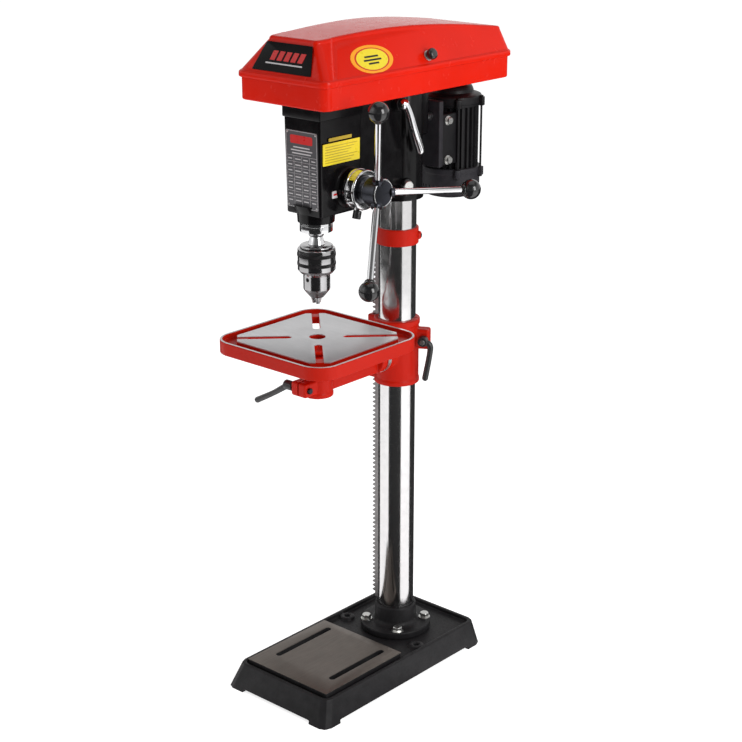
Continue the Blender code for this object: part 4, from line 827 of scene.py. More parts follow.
def make_arm():
    """The tilting arm: a disc against the bracket's boss, a beam, and a split ring for the table's post."""
    tilt, lock = axis_point("table_tilt"), axis_point("table_lock_turn")
    low = Extent("table_arm").low.z
    face = tilt.y - GAP
    body = rod((0, face, tilt.z), (0, tilt.y - 0.0130, tilt.z), 0.0310, FINE, 0.0014)
    beam = block((-0.0158, SPINDLE_Y + 0.015, 0.6172), (0.0158, tilt.y - 0.008, 0.6878), 0.0040)
    ring = rod((0, SPINDLE_Y, low), (0, SPINDLE_Y, 0.6937), 0.0280, FINE, 0.0014)
    band = rod((0, SPINDLE_Y, low + 0.0004), (0, SPINDLE_Y, low + 0.0090), 0.0292, FINE, 0.0012)
    ear = block((-0.0188, lock.y - 0.0098, lock.z - 0.0138), (0.0188, SPINDLE_Y - 0.018, lock.z + 0.0138),
                0.0040)
    cuts = [rod((0, SPINDLE_Y, low - 0.02), (0, SPINDLE_Y, 0.72), 0.0209, FINE, 0),
            block((-0.0016, lock.y - 0.02, low - 0.03), (0.0016, SPINDLE_Y, 0.73)),
            rod((-0.03, lock.y, lock.z), (0.03, lock.y, lock.z), 0.0046, 32, 0),
            rod((0, tilt.y + 0.01, tilt.z), (0, tilt.y - 0.02, tilt.z), 0.0076, 32, 0),
            block((-0.0135, tilt.y - 0.0340, 0.600), (0.0135, tilt.y - 0.0134, tilt.z + 0.0145))]
    cast(carve(body, add=(beam, ring, band, ear)), 0.0011, 5, 0.5)
    carve(body, remove=cuts)
    piece(body, "table_arm_casting", "arm", RED_CAST, ("table_arm",), 40)


def make_table():
    """The table: a painted tray with ribs under it, and the bare ground faces of its middle and rim."""
    half, corner, rim, skirt = TABLE_HALF, 0.045, 0.0055, 0.025
    top, bottom = TABLE_TOP, TABLE_TOP - skirt
    centre = Vector((0, SPINDLE_Y, 0))
    at = Matrix.Translation(centre)
    plate = slab(rounded_rectangle((-half, -half), (half, half), corner, 20), bottom, top, at)
    inner = half - rim
    inside = rounded_rectangle((-inner, -inner), (inner, inner), corner - rim, 18)
    gutter = slab(inside, top - 0.0095, top + 0.01, at)
    hollow = slab(inside, bottom - 0.01, bottom + 0.0100, at)
    square_half, chamfer = 0.118, 0.026
    square = []
    for x, y in ((1, 1), (-1, 1), (-1, -1), (1, -1)):
        ends = [(x * square_half, y * (square_half - chamfer)), (x * (square_half - chamfer),
                                                                 y * square_half)]
        square += ends if x * y > 0 else ends[::-1]
    middle = slab(square, top - 0.0125, top - 0.0012, at)
    post_low = Extent("table_arm").low.z - 0.0030
    post = lathe([(0, bottom + 0.0105), (0.034, bottom + 0.0105), (0.0275, bottom + 0.006),
                  (0.0205, bottom - 0.004),
                  (0.0205, post_low), (0, post_low)], at, FINE, 0.0015)
    ribs = [block((-0.0030, 0.018, bottom + 0.001), (0.0030, 0.134, bottom + 0.014),
                  place=at @ Matrix.Rotation(quarter * pi / 2, 4, "Z")) for quarter in range(4)]
    hole = rod(centre + UP * (post_low - 0.01), centre + UP * (top + 0.01), 0.015, FINE, 0)
    slots = [table_slot(quarter, top - 0.045, top + 0.02) for quarter in range(4)]
    drain = rod(Vector((-0.127, SPINDLE_Y - 0.060, bottom)), Vector((-0.127, SPINDLE_Y - 0.060, top)),
                0.0035, 24, 0)
    carve(plate, remove=(gutter, hollow))
    carve(plate, add=(middle, post, *ribs), remove=(hole, drain, *slots))
    cast(plate, 0.0011, 2, 0.4)
    piece(plate, "table_tray", "table", RED_CAST, ("table",), smooth=False)

    face = slab(square, top - 0.0030, top + 0.00005, at, 0.0004, 2)
    cuts = [table_slot(quarter, top - 0.02, top + 0.02, 0.0004) for quarter in range(4)]
    cuts.append(rod(centre + UP * (top - 0.02), centre + UP * (top + 0.02), 0.0154, FINE, 0))
    carve(face, remove=cuts)
    piece(face, "table_ground_face", "table", TABLE_IRON, angle=25)
    outer_line, inner_line = half - 0.0007, inner + 0.0006
    ring = slab(rounded_rectangle((-outer_line,) * 2, (outer_line,) * 2, corner - 0.0007, 24), top - 0.0006,
                top + 0.00015, at)
    carve(ring, remove=(slab(rounded_rectangle((-inner_line,) * 2, (inner_line,) * 2,
                                               corner - rim - 0.0006, 24),
                             top - 0.01, top + 0.01, at),))
    piece(ring, "table_rim_face", "table", TABLE_IRON, angle=25)


def table_slot(quarter, low, high, margin=0.0):
    """A diagonal slot through the table, open at the corner's gutter and round at its inner end."""
    turn = Matrix.Rotation(pi / 4 + quarter * pi / 2, 4, "Z")
    width = 0.007 + margin
    outline = arc((0.055, 0), width, pi / 2, 3 * pi / 2, 20) + [(0.150, -width), (0.150, width)]
    if low < TABLE_TOP - 0.03:
        outline = arc((0.055, 0), width, pi / 2, 3 * pi / 2, 20) + [(0.128, -width), (0.128, width)]
    return slab(outline, low, high, Matrix.Translation((0, SPINDLE_Y, 0)) @ turn)


# ---------------------------------------------------------------- head

def make_head():
    """The head: a tapered front, a web and a rear block, the column's socket and the bosses of its shafts."""
    low, high = HEAD.low.z, HEAD.high.z
    foot, socket_low, bore, back = HEAD_FOOT, 0.952, COLUMN_RADIUS + GAP, -0.150
    quill_bore = QUILL.size.x / 2 + 0.0005
    spindle, pivot, slide = Vector((0, SPINDLE_Y,
                                    0)), axis_point("tension_lever_turn"), Extent("slide_bar_left")
    feed = along((0, FEED.y, FEED.z), (1, 0, 0))

    def front_outline(half, front, inset=0.0):
        return rounded_rectangle((-half + inset, front + inset), (half - inset, back), 0.006)

    foot_half, foot_front, top_half = HEAD_SIDE - 0.0025, HEAD.low.y + 0.003, HEAD_SIDE - 0.0005
    body = loft([(front_outline(foot_half, foot_front, 0.0020), foot),
                 (front_outline(foot_half, foot_front, 0.0007), foot + 0.0006),
                 (front_outline(foot_half, foot_front), foot + 0.0020),
                 (front_outline(top_half, HEAD.low.y), high)])
    ledge = block((-HEAD_SIDE - 0.0012, HEAD.low.y - 0.0008, high - 0.0300),
                  (HEAD_SIDE + 0.0012, back, high - 0.0005),
                  0.0020)
    web = block((-0.0360, -0.155, 0.985), (0.0360, -0.020, high - 0.0010), 0.0040)
    rear = block((-0.0420, -0.030, 1.070), (0.0420, 0.0420, high - 0.0007), 0.0060)
    socket = rod((0, 0, socket_low), (0, 0, high - 0.0013), 0.0470, FINE, 0.0015)
    socket_band = rod((0, 0, socket_low + 0.0003), (0, 0, socket_low + 0.0120), 0.0490, FINE, 0.0015)
    boss = lathe([(0, low + 0.0350), (0.0420, low + 0.0340), (0.0350, low + 0.0180), (0.0337, low),
                  (0, low)],
                 Matrix.Translation(spindle), FINE, 0.0012)
    feed_boss = lathe([(0, 0.0600), (0.0332, 0.0600), (0.0335, 0.0490), (0.0345, 0.0465), (0.0380, 0.0440),
                       (0.0380, 0.0300), (0.0330, 0.0300), (0.0330, -0.0550), (0, -0.0550)], feed, FINE,
                      0.0012)
    pivot_boss = lathe([(0, 0.0500), (0.0132, 0.0500), (0.0150, 0.0400), (0.0150, 0.0300), (0, 0.0300)],
                       along((0, pivot.y, pivot.z), (1, 0, 0)), 64, 0.0010)
    out = Vector((cos(HEAD_SCREW_TURN), sin(HEAD_SCREW_TURN), 0))
    screw_pad = lathe([(0, 0.0525), (0.0110, 0.0525), (0.0128, 0.0440), (0, 0.0440)],
                      along((0, 0, HEAD_SCREW_HEIGHT), out), 48, 0.0010)
    cuts = [rod((0, 0, socket_low - 0.01), (0, 0, COLUMN.high.z + GAP), bore, FINE, 0),
            rod(spindle + UP * (low - 0.01), spindle + UP * (QUILL.high.z + 0.015), quill_bore, FINE, 0),
            rod(spindle + UP * QUILL.high.z, spindle + UP * (high + 0.01), 0.0178, 48, 0),
            rod((-0.0145, FEED.y, FEED.z), (0.08, FEED.y, FEED.z), 0.0174, 64, 0),
            rod((-0.0700, FEED.y, FEED.z), (0, FEED.y, FEED.z), 0.0094, 48, 0),
            rod((-0.0200, pivot.y, pivot.z), (0.060, pivot.y, pivot.z), 0.0074, 48, 0)]
    cuts += [rod((side * slide.mid.x, -0.052, slide.mid.z), (side * slide.mid.x, 0.060, slide.mid.z),
                 slide.size.x / 2 + 0.0004, 48, 0) for side in (-1, 1)]
    carve(body, add=(ledge, web, rear, socket, socket_band, boss, feed_boss, pivot_boss, screw_pad),
          remove=cuts)
    piece(body, "head_body", "root", BLACK_ENAMEL, ("head_casting",), 32)
    bolt = hexagon(0.0165, 0.0095, along(UP * HEAD_SCREW_HEIGHT + out * 0.0524, out, radians(8)))
    piece(bolt, "head_clamp_screw_1", "root", BOLT_STEEL, angle=30)


def front_place(z):
    """A placement on the head's front face: X to the right, Y up, Z outwards."""
    tilt = 0.003 / (HEAD.high.z - HEAD_FOOT)
    y = HEAD.low.y + tilt * (HEAD.high.z - z)
    return axes((0, y, z), (1, 0, 0), (0, -tilt, 1))


def side_place(y, z, x=None):
    """A placement on the head's right face: X to the back, Y up, Z outwards."""
    tilt = 0.002 / (HEAD.high.z - HEAD_FOOT)
    x = HEAD_SIDE - tilt * (HEAD.high.z - z) if x is None else x
    return axes((x, y, z), (0, 1, 0), (tilt, 0, 1))


def make_front_plate():
    """A generic data plate: a header bar and a table of blank cells."""
    half, z_low, z_high = 0.0385, 0.974, 1.1145
    middle = (z_low + z_high) / 2
    tall = (z_high - z_low) / 2
    place = front_place(middle)
    base = slab(rounded_rectangle((-half, -tall), (half, tall), 0.003), 0.0001, 0.0011, place, 0.0003, 2)
    piece(base, "data_plate", "root", PLATE_GREY, angle=30)
    border = slab(rounded_rectangle((-half + 0.0012, -tall + 0.0012), (half - 0.0012, tall - 0.0012),
                                    0.0022),
                  0.0009, 0.00125, place)
    inner = slab(rounded_rectangle((-half + 0.0018, -tall + 0.0018), (half - 0.0018, tall - 0.0018),
                                   0.0017),
                 0, 0.003, place)
    marks = [carve(border, remove=(inner,))]
    for row in range(8):
        y = tall - 0.046 - row * 0.0108
        marks.append(block((-half + 0.0018, y, 0.0009), (half - 0.0018, y + 0.0004, 0.00125), place=place))
    for x in (-0.019, 0.0, 0.019):
        marks.append(block((x - 0.0002, -tall + 0.004, 0.0009), (x + 0.0002, tall - 0.0456, 0.00125),
                           place=place))
    for row in range(8):
        y = tall - 0.046 - row * 0.0108 - 0.0056
        for column in range(4):
            x = -0.0285 + column * 0.019
            reach = 0.0048 + 0.0018 * ((row * 3 + column * 5) % 3) / 2
            marks.append(block((x - reach, y - 0.0009, 0.0009), (x + reach, y + 0.0009, 0.00125),
                               place=place))
    for x, reach, y in ((0, 0.020, tall - 0.030), (0, 0.026, tall - 0.0355), (0, 0.023, tall - 0.041)):
        marks.append(block((x - reach, y - 0.0010, 0.0009), (x + reach, y + 0.0010, 0.00125), place=place))
    piece(joined(marks), "data_plate_marks", "root", PLATE_PALE, smooth=False)
    header = slab(rounded_rectangle((-0.027, tall - 0.0235), (0.027, tall - 0.0085), 0.003), 0.0009,
                  0.0014, place)
    piece(header, "data_plate_header", "root", PLATE_RED, smooth=False)
    rivets = []
    for x in (-half + 0.0045, half - 0.0045):
        for y in (-tall + 0.0045, tall - 0.0045):
            rivets.append(lathe([(0, 0.0012), (0.0012, 0.0010), (0.0019, 0.0), (0, 0)],
                                place @ Matrix.Translation((x, y, 0.0010)), 24, 0.0002))
    piece(joined(rivets), "data_plate_rivets", "root", BOLT_STEEL)


def make_side_plates():
    """Plain plates on the head's right face: a yellow one with blank lines and a header, and a pale one."""
    y_low, y_high, z_low, z_high = -0.2560, -0.1600, 1.0560, 1.0950
    place = side_place((y_low + y_high) / 2, (z_low + z_high) / 2, HEAD_SIDE)
    half, tall = (y_high - y_low) / 2, (z_high - z_low) / 2
    plate = slab(rounded_rectangle((-half, -tall), (half, tall), 0.0015), 0.0004, 0.0019, place, 0.0003, 2)
    piece(plate, "side_plate_yellow", "root", PLATE_YELLOW, angle=30)
    lines = []
    for row in range(7):
        y = tall - 0.0060 - row * 0.0047
        reach = half - 0.006 - 0.004 * ((row * 5) % 4)
        lines.append(block((-half + 0.005, y - 0.0006, 0.0017), (-half + 0.005 + 2 * reach, y + 0.0006,
                                                                 0.0021),
                           place=place))
    piece(joined(lines), "side_plate_lines", "root", PLATE_OLIVE, smooth=False)
    header = side_place(-0.211, 1.1010, HEAD_SIDE)
    bar = slab(rounded_rectangle((-0.030, -0.0030), (0.030, 0.0030), 0.001), 0.0004, 0.0015, header)
    piece(bar, "side_plate_header", "root", PLATE_OLIVE, smooth=False)
    label = side_place(-0.221, 1.0005, HEAD_SIDE - 0.0016)
    piece(slab(rounded_rectangle((-0.0105, -0.0065), (0.0105, 0.0065), 0.001), 0.0002, 0.0018, label,
               0.0002, 2),
          "small_plate", "root", PLATE_PALE, angle=30)
    piece(slab(rounded_rectangle((-0.0075, -0.0018), (0.0075, 0.0018), 0.0008), 0.0015, 0.0021, label),
          "small_plate_bar", "root", PLATE_RED, smooth=False)


def make_spring_housing():
    """The cap over the quill's return spring, on the head's left side."""
    x = Extent("return_spring_housing").high.x
    cap = lathe([(0, 0.0240), (0.0115, 0.0240), (0.0135, 0.0215), (0.0240, 0.0212), (0.0300, 0.0195),
                 (0.0315, 0.0150), (0.0315, 0.0), (0.0285, 0.0), (0.0285, 0.017), (0.0098, 0.017),
                 (0.0098, 0.0200),
                 (0, 0.0200)], along((x, FEED.y, FEED.z), (-1, 0, 0)), FINE, 0.0012)
    ears = []
    for turn in (0, pi):
        at = Vector((0, cos(turn), sin(turn)))
        centre = Vector((x, FEED.y, FEED.z)) + at * 0.0345
        ears.append(lathe([(0, 0.006), (0.0055, 0.006), (0.0058, 0), (0, 0)], along(centre, (-1, 0, 0)),
                          32, 0.0008))
    carve(cap, add=ears)
    piece(cap, "spring_housing_cap", "root", BLACK_ENAMEL, ("return_spring_housing",), 32)
    screws = [cross_screw(0.0038, along(Vector((x - 0.006, FEED.y, FEED.z)) + Vector((0, cos(t),
                                                                                      sin(t))) * 0.0345,
                                        (-1, 0, 0))) for t in (0, pi)]
    piece(joined(screws), "spring_housing_screws", "root", BOLT_STEEL)


def make_switch_box():
    """The switch box with its cable gland and its two buttons."""
    low, high = SWITCH.low, SWITCH.high
    face_low_z = 1.062
    body = block((low.x, low.y, face_low_z), (high.x, high.y, high.z), 0.0045, steps=5)
    holes, rims = [], []
    for name in ("start_button", "stop_button"):
        at = Extent(name).mid
        holes.append(rod((low.x - 0.01, at.y, at.z), (low.x + 0.0200, at.y, at.z), 0.0096, 48, 0))
        rims.append(lathe([(0.0096, 0.0022), (0.0118, 0.0022), (0.0130, -0.002), (0.0096, -0.002)],
                          along((low.x, at.y, at.z), (-1, 0, 0)), 64, 0.0006))
    gland_x, gland_y = high.x - 0.016, Extent("start_button").mid.y + 0.024
    gland = lathe([(0, face_low_z + 0.006), (0.0085, face_low_z + 0.006), (0.0088, 1.056), (0.0065, 1.0545),
                   (0.0060, 1.0475), (0.0036, 1.047), (0, 1.047)],
                  Matrix.Translation((gland_x, gland_y, 0)), 48, 0.0006,
                  wave=lambda turn, z: 0.0003 * (cos(turn * 12) > 0) if 1.0555 < z < 1.0615 else 0.0)
    inlet = rod((gland_x, gland_y, 1.035), (gland_x, gland_y, 1.068), 0.0035, 32, 0)
    carve(body, add=(gland, *rims), remove=(*holes, inlet))
    piece(body, "switch_box_shell", "root", SATIN_PLASTIC, ("switch_box",), 32)
    screws = [cross_screw(0.0028, along((low.x + 0.0003, y, z), (-1, 0, 0)))
              for y in (low.y + 0.007, high.y - 0.007) for z in (face_low_z + 0.007, high.z - 0.007)]
    piece(joined(screws), "switch_box_screws", "root", BOLT_STEEL)
    for name, look, slot_name in (("start_button", GREEN_PLASTIC, "green_plastic"),
                                  ("stop_button", RED_PLASTIC, "red_plastic")):
        box = Extent(name)
        length = box.size.x
        button = lathe([(0, length - 0.0005), (0.0055, length - 0.0003), (0.0078, length - 0.0010),
                        (0.0088, length - 0.003),
                        (0.0090, 0), (0, 0)], along((box.high.x, box.mid.y, box.mid.z), (-1, 0, 0)), 64,
                       0.0006)
        piece(button, name + "_cap", name, look, (name,))


# ---------------------------------------------------------------- quill and chuck

def make_quill():
    """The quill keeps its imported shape, with an end ring and its bearing's shield added."""
    at = Matrix.Translation((0, SPINDLE_Y, 0))
    kept_node("quill", CHROME)
    radius, low = QUILL.size.x / 2, QUILL.low.z
    sleeve = lathe([(radius - 0.0032, low + 0.012), (radius + 0.00012, low + 0.012),
                    (radius + 0.00012, low - 0.0002),
                    (radius - 0.0032, low - 0.0002)], at, FINE, 0.0008)
    piece(sleeve, "quill_end_ring", "quill", CHROME, angle=30)
    bearing = Extent("quill_bearing")
    shield = lathe([(0.0125, bearing.high.z), (0.0262, bearing.high.z), (0.0262, bearing.low.z),
                    (0.0232, bearing.low.z),
                    (0.0226, bearing.low.z + 0.0012), (0.0170, bearing.low.z + 0.0012),
                    (0.0164, bearing.low.z),
                    (0.0125, bearing.low.z)], at, FINE, 0.0003)
    piece(shield, "quill_bearing_detail", "quill", STEEL, ("quill_bearing",), 30)


def make_spindle():
    """The splined spindle and the taper that carries the chuck."""
    at = Matrix.Translation((0, SPINDLE_Y, 0))
    top, low = Extent("spindle").high.z, Extent("spindle").low.z
    splines = 6

    def spline(turn, z):
        return -0.0012 * (cos(turn * splines) > 0.45) if 1.105 < z < top - 0.002 else 0.0

    upper = lathe([(0, top), (0.0078, top), (0.0085, top - 0.0012), (0.0085, 1.100), (0.0118, 1.096),
                   (0.0120, 1.094), (0.0120, low + 0.0102), (0.0140, low + 0.0096), (0.0145, low + 0.0088),
                   (0.0145, low + 0.0035), (0.0128, low), (0.0098, low), (0.0098, low + 0.0240),
                   (0, low + 0.0240)],
                  at, FINE, 0.0005, spline)
    piece(upper, "spindle_shaft", "spindle", STEEL, ("spindle",), 30)
    arbor = Extent("chuck_arbor")
    taper = lathe([(0, arbor.high.z), (0.0090, arbor.high.z), (0.0095, arbor.high.z - 0.001),
                   (0.0095, arbor.low.z), (0, arbor.low.z)],
                  at, 64, 0.0004)
    collar_low, collar_high = CHUCK.high.z + 0.0002, low - 0.0006
    nose = lathe([(0.0096, collar_high), (0.0112, collar_high), (0.0150, collar_low + 0.0020),
                  (0.0158, collar_low),
                  (0.0096, collar_low)], at, FINE, 0.0006)
    piece(joined([taper, nose]), "chuck_arbor_detail", "spindle", CHROME, ("chuck_arbor",), 30)


def make_chuck():
    """A keyed chuck: polished body with key holes, a toothed sleeve with knurled bands, three jaws."""
    at = Matrix.Translation((0, SPINDLE_Y, 0))
    top, nose = CHUCK.high.z, CHUCK.low.z
    sleeve_low, sleeve_high, radius = SLEEVE.low.z, SLEEVE.high.z, SLEEVE.size.x / 2
    body_radius = 0.0248
    body = lathe([(0, top), (0.0240, top), (0.0290, top - 0.0012), (0.0304, top - 0.0030),
                  (0.0304, top - 0.0052),
                  (0.0262, top - 0.0060), (0.0262, sleeve_low), (body_radius, sleeve_low - 0.0045),
                  (body_radius, nose + 0.0170), (0.0232, nose + 0.0140), (0.0130, nose + 0.0014),
                  (0.0115, nose),
                  (0, nose)], at, FINE, 0.0006)
    cuts = [rod((0, SPINDLE_Y, top - 0.0305), (0, SPINDLE_Y, top + 0.01), 0.0098, 48, 0)]
    for number in range(3):
        tip, opening = jaw_line(number)
        cuts.append(rod(tip - opening * 0.01, tip + opening * 0.0585, 0.0042, 32, 0))
        turn = radians(30 + 120 * number)
        out = Vector((cos(turn), sin(turn), 0))
        key_at = Vector((0, SPINDLE_Y, sleeve_low - 0.0105))
        cuts.append(rod(key_at + out * 0.014, key_at + out * 0.03, 0.0040, 32, 0))
    carve(body, remove=cuts)
    piece(body, "chuck_body_detail", "spindle", CHUCK_STEEL, ("chuck_body",), 32)

    teeth = 32
    bore = 0.0266
    profile = [(bore, sleeve_high), (radius - 0.0026, sleeve_high), (radius - 0.0008, sleeve_high - 0.0018)]
    profile += [(radius - 0.0008, sleeve_low + 0.0060), (radius - 0.0026, sleeve_low + 0.0042),
                (0.0300, sleeve_low), (bore, sleeve_low)]
    bevel_low, bevel_high = sleeve_low - 0.001, sleeve_low + 0.0040

    def tooth(turn, z):
        if bevel_low < z < bevel_high:
            return -0.0016 * max(0.0, min(1.0, 0.5 + 1.3 * cos(turn * teeth)))
        return 0.0

    shell = lathe(profile, at, teeth * 8, 0.0006, wave=tooth)
    piece(shell, "chuck_sleeve_shell", "chuck_sleeve", CHUCK_STEEL, ("chuck_sleeve",), 28)
    tall = sleeve_high - sleeve_low
    bands = [knurled_band(radius - 0.0010, sleeve_low + tall * share_low, sleeve_low + tall * share_high)
             for share_low, share_high in ((0.66, 0.82), (0.30, 0.46))]
    piece(joined(bands), "chuck_knurled_bands", "chuck_sleeve", KNURL_STEEL, smooth=False)
    for number in range(3):
        tip, opening = jaw_line(number)
        jaw = rod(tip, tip + opening * 0.0420, 0.0038, 40, 0.0006)
        piece(jaw, f"chuck_jaw_{number + 1}_detail", f"jaw_{number + 1}", STEEL,
              (f"chuck_jaw_{number + 1}",), 30)


def jaw_line(number):
    """A jaw's tip and its opening direction, as the record's joints say."""
    opening = axis_direction(f"jaw_{number + 1}_slide")
    out = Vector((opening.x, opening.y, 0)).normalized()
    tip = Vector((0, SPINDLE_Y, 0.791)) + out * 0.0046
    return tip, opening


def knurled_band(radius, low, high, diamonds=44, rise=0.0009):
    """A ring with a diamond knurl between two plain edges."""
    sides, rows = diamonds * 6, 14
    form = bmesh.new()
    rings = []
    tall = high - low
    for row in range(rows + 1):
        share = row / rows
        z = low + tall * share
        ring = []
        for side in range(sides):
            turn = 2 * pi * side / sides
            first = abs(((turn * diamonds / (2 * pi)) + share * 2.0) % 1.0 - 0.5) * 2
            second = abs(((turn * diamonds / (2 * pi)) - share * 2.0) % 1.0 - 0.5) * 2
            edge = min(1.0, 6 * share, 6 * (1 - share))
            lift = rise * min(first, second) ** 0.7 * edge + 0.0004 * edge
            ring.append(form.verts.new(((radius + lift) * cos(turn),
                                        SPINDLE_Y + (radius + lift) * sin(turn), z)))
        rings.append(ring)
    inner = [[form.verts.new(((radius - 0.0012) * cos(2 * pi * s / sides),
                              SPINDLE_Y + (radius - 0.0012) * sin(2 * pi * s / sides),
                              z)) for s in range(sides)]
             for z in (high, low)]
    loops = rings + inner
    for near, far in zip(loops, loops[1:] + loops[:1]):
        for side in range(sides):
            after = (side + 1) % sides
            form.faces.new((near[side], near[after], far[after], far[side]))
    bmesh.ops.recalc_face_normals(form, faces=form.faces)
    return from_form(form, "band")


# ---------------------------------------------------------------- feed

def make_feed():
    """The feed hub and its three levers with their knobs."""
    at = along((0, FEED.y, FEED.z), (1, 0, 0))
    end, shoulder = HUB.high.x, RING.low.x - 0.0005
    radius = 0.027
    hub = lathe([(0, end - 0.0008), (radius - 0.0042, end - 0.0008), (radius - 0.0036, end),
                 (radius - 0.0022, end),
                 (radius, end - 0.0025), (radius, 0.0985), (radius - 0.0012, 0.0960), (0.0240, 0.0945),
                 (0.0235, 0.0935), (0.0235, shoulder), (0.0168, shoulder), (0.0168, 0.021), (0.0091, 0.021),
                 (0.0091, 0.1184), (0, 0.1184)], at, FINE, 0.0006)
    holes, collars = [], []
    for number in (1, 2, 3):
        root, direction = lever_line(number)
        holes.append(rod(root + direction * 0.0155, root + direction * 0.045, 0.0063, 32, 0))
        collars.append(lathe([(0.0064, 0.0), (0.0098, 0.0), (0.0104, -0.003), (0.0104, -0.008),
                              (0.0064, -0.008)],
                             along(root + direction * 0.0315, direction), 48, 0.0007))
    carve(hub, remove=holes)
    piece(hub, "feed_hub_body", "feed", HUB_STEEL, ("feed_hub",), 30)
    rim = lathe([(radius - 0.0010, end - 0.0012), (radius - 0.0022, end + 0.0001),
                 (radius - 0.0036, end + 0.0001),
                 (radius - 0.0041, end - 0.0006), (radius - 0.0041, end - 0.0012)], at, FINE, 0.0002)
    piece(rim, "feed_hub_rim", "feed", CHROME, angle=30)
    piece(joined(collars), "lever_collars", "feed", HUB_STEEL, angle=30)
    kept_node("feed_pinion_shaft", STEEL)
    for number in (1, 2, 3):
        root, direction = lever_line(number)
        lever = lathe([(0, LEVER_LENGTH - 0.0155), (0.0050, LEVER_LENGTH - 0.0155),
                       (0.0060, LEVER_LENGTH - 0.0175), (0.0060, 0.0180),
                       (0.0052, 0.0166), (0, 0.0166)], along(root, direction), 64, 0.0006)
        piece(lever, f"feed_lever_{number}_rod", "feed", CHROME, (f"feed_lever_{number}",), 30)
        collar_low = -0.0150
        line = arc((0, 0), 0.0185, pi / 2, -0.93, 28) + [(0.0095, collar_low), (0, collar_low)]
        ball = lathe(line, along(root + direction * LEVER_LENGTH, direction), 72, 0.0004)
        piece(ball, f"lever_knob_{number}_ball", "feed", BLACK_PLASTIC,
              (f"lever_knob_{number}",), 40)
        ferrule = lathe([(0.0061, 0.0), (0.0098, 0.0), (0.0100, -0.0022), (0.0088, -0.0052),
                         (0.0061, -0.0052)],
                        along(root + direction * (LEVER_LENGTH + collar_low - 0.0001), direction), 48,
                        0.0005)
        piece(ferrule, f"lever_knob_{number}_neck", "feed", BLACK_PLASTIC, angle=30)


def lever_line(number):
    """A feed lever's root on the hub's axis and its direction."""
    root = Vector((0.112, FEED.y, FEED.z))
    turn = radians(LEVER_TURNS[number - 1])
    direction = Vector((LEVER_RAKE, LEVER_REACH * cos(turn), LEVER_REACH * sin(turn))).normalized()
    return root, direction


def make_depth_ring():
    """The graduated ring round the hub and the thumbscrew that locks it."""
    at = along((0, FEED.y, FEED.z), (1, 0, 0))
    low, high, radius = RING.low.x, RING.high.x, 0.037
    ring = lathe([(0.0239, high), (radius - 0.0022, high), (radius - 0.0004, high - 0.0018),
                  (radius - 0.0004, high - 0.0045), (radius - 0.0016, high - 0.0052),
                  (radius - 0.0016, low + 0.0075),
                  (radius - 0.0002, low + 0.0066), (radius - 0.0002, low + 0.0014), (radius - 0.0014, low),
                  (0.0239, low)], at, FINE * 2, 0.0005)
    screw_turn = depth_screw_direction()
    centre = Vector(((low + high) / 2, FEED.y, FEED.z))
    pad = lathe([(0, 0.0375), (0.0090, 0.0375), (0.0098, 0.0355), (0.0098, 0.030), (0, 0.030)],
                along(centre, screw_turn), 48, 0.0006)
    hole = rod(centre + screw_turn * 0.020, centre + screw_turn * 0.05, 0.0034, 32, 0)
    carve(ring, add=(pad,), remove=(hole,))
    piece(ring, "depth_ring_body", "depth_ring", CHROME, ("depth_ring",), 30)
    marks = []
    count = 60
    for number in range(count):
        turn = 2 * pi * number / count
        out = Vector((0, cos(turn), sin(turn)))
        if out.angle(screw_turn) < radians(20):
            continue
        long = 0.0075 if number % 5 == 0 else 0.0042
        place = axes(Vector((low + 0.0085, FEED.y, FEED.z)) + out * (radius - 0.0016), (1, 0, 0),
                     out.cross((1, 0, 0)))
        marks.append(block((0, -0.00018, -0.0002), (long, 0.00018, 0.00012), place=place))
    piece(joined(marks), "depth_ring_marks", "depth_ring", INK, smooth=False)
    head = lathe([(0, 0.0540), (0.0068, 0.0540), (0.0078, 0.0530), (0.0078, 0.0400), (0.0066, 0.0386),
                  (0.0032, 0.0385),
                  (0.0030, 0.0380), (0.0030, 0.0246), (0, 0.0246)], along(centre, screw_turn), 96, 0.0004,
                 wave=lambda turn, z: -0.0006 * (cos(turn * 16) < 0) if 0.0405 < z < 0.0525 else 0.0)
    piece(head, "depth_lock_thumbscrew", "depth_screw", BLACK_PLASTIC,
          ("depth_lock_screw",), 30)


def depth_screw_direction():
    return axis_direction("depth_screw_turn").normalized()


# ---------------------------------------------------------------- belt cover


def lid_crest(way):
    """The height of the lid's upper edge, part way from its front to its back."""
    return TOP_FRONT.z + (TOP_BACK.z - TOP_FRONT.z) * way + ARCH * sin(pi * way)


def lid_half_width(rise, y):
    """Half the lid's width at a share of the walls' height."""
    front = COVER_HALF + (TOP_FRONT.x - COVER_HALF) * rise
    back = COVER_HALF + (TOP_BACK.x - COVER_HALF) * rise
    y_front = FRONT + (TOP_FRONT.y - FRONT) * rise
    y_back = BACK + (TOP_BACK.y - BACK) * rise
    return front + (back - front) * (y - y_front) / (y_back - y_front)


def wall_point(y, z, lift=0.0):
    """A point on the lid's right wall, lifted off its surface."""
    way = (y - FRONT) / (BACK - FRONT)
    rise = (z - BAND_TOP) / (lid_crest(way) - EDGE - BAND_TOP)
    return Vector((lid_half_width(rise, y) - wall_relief(y - FRONT, rise) + lift, y, z))


def soft_step(value, low, high):
    share = max(0.0, min(1.0, (value - low) / (high - low)))
    return share * share * (3 - 2 * share)


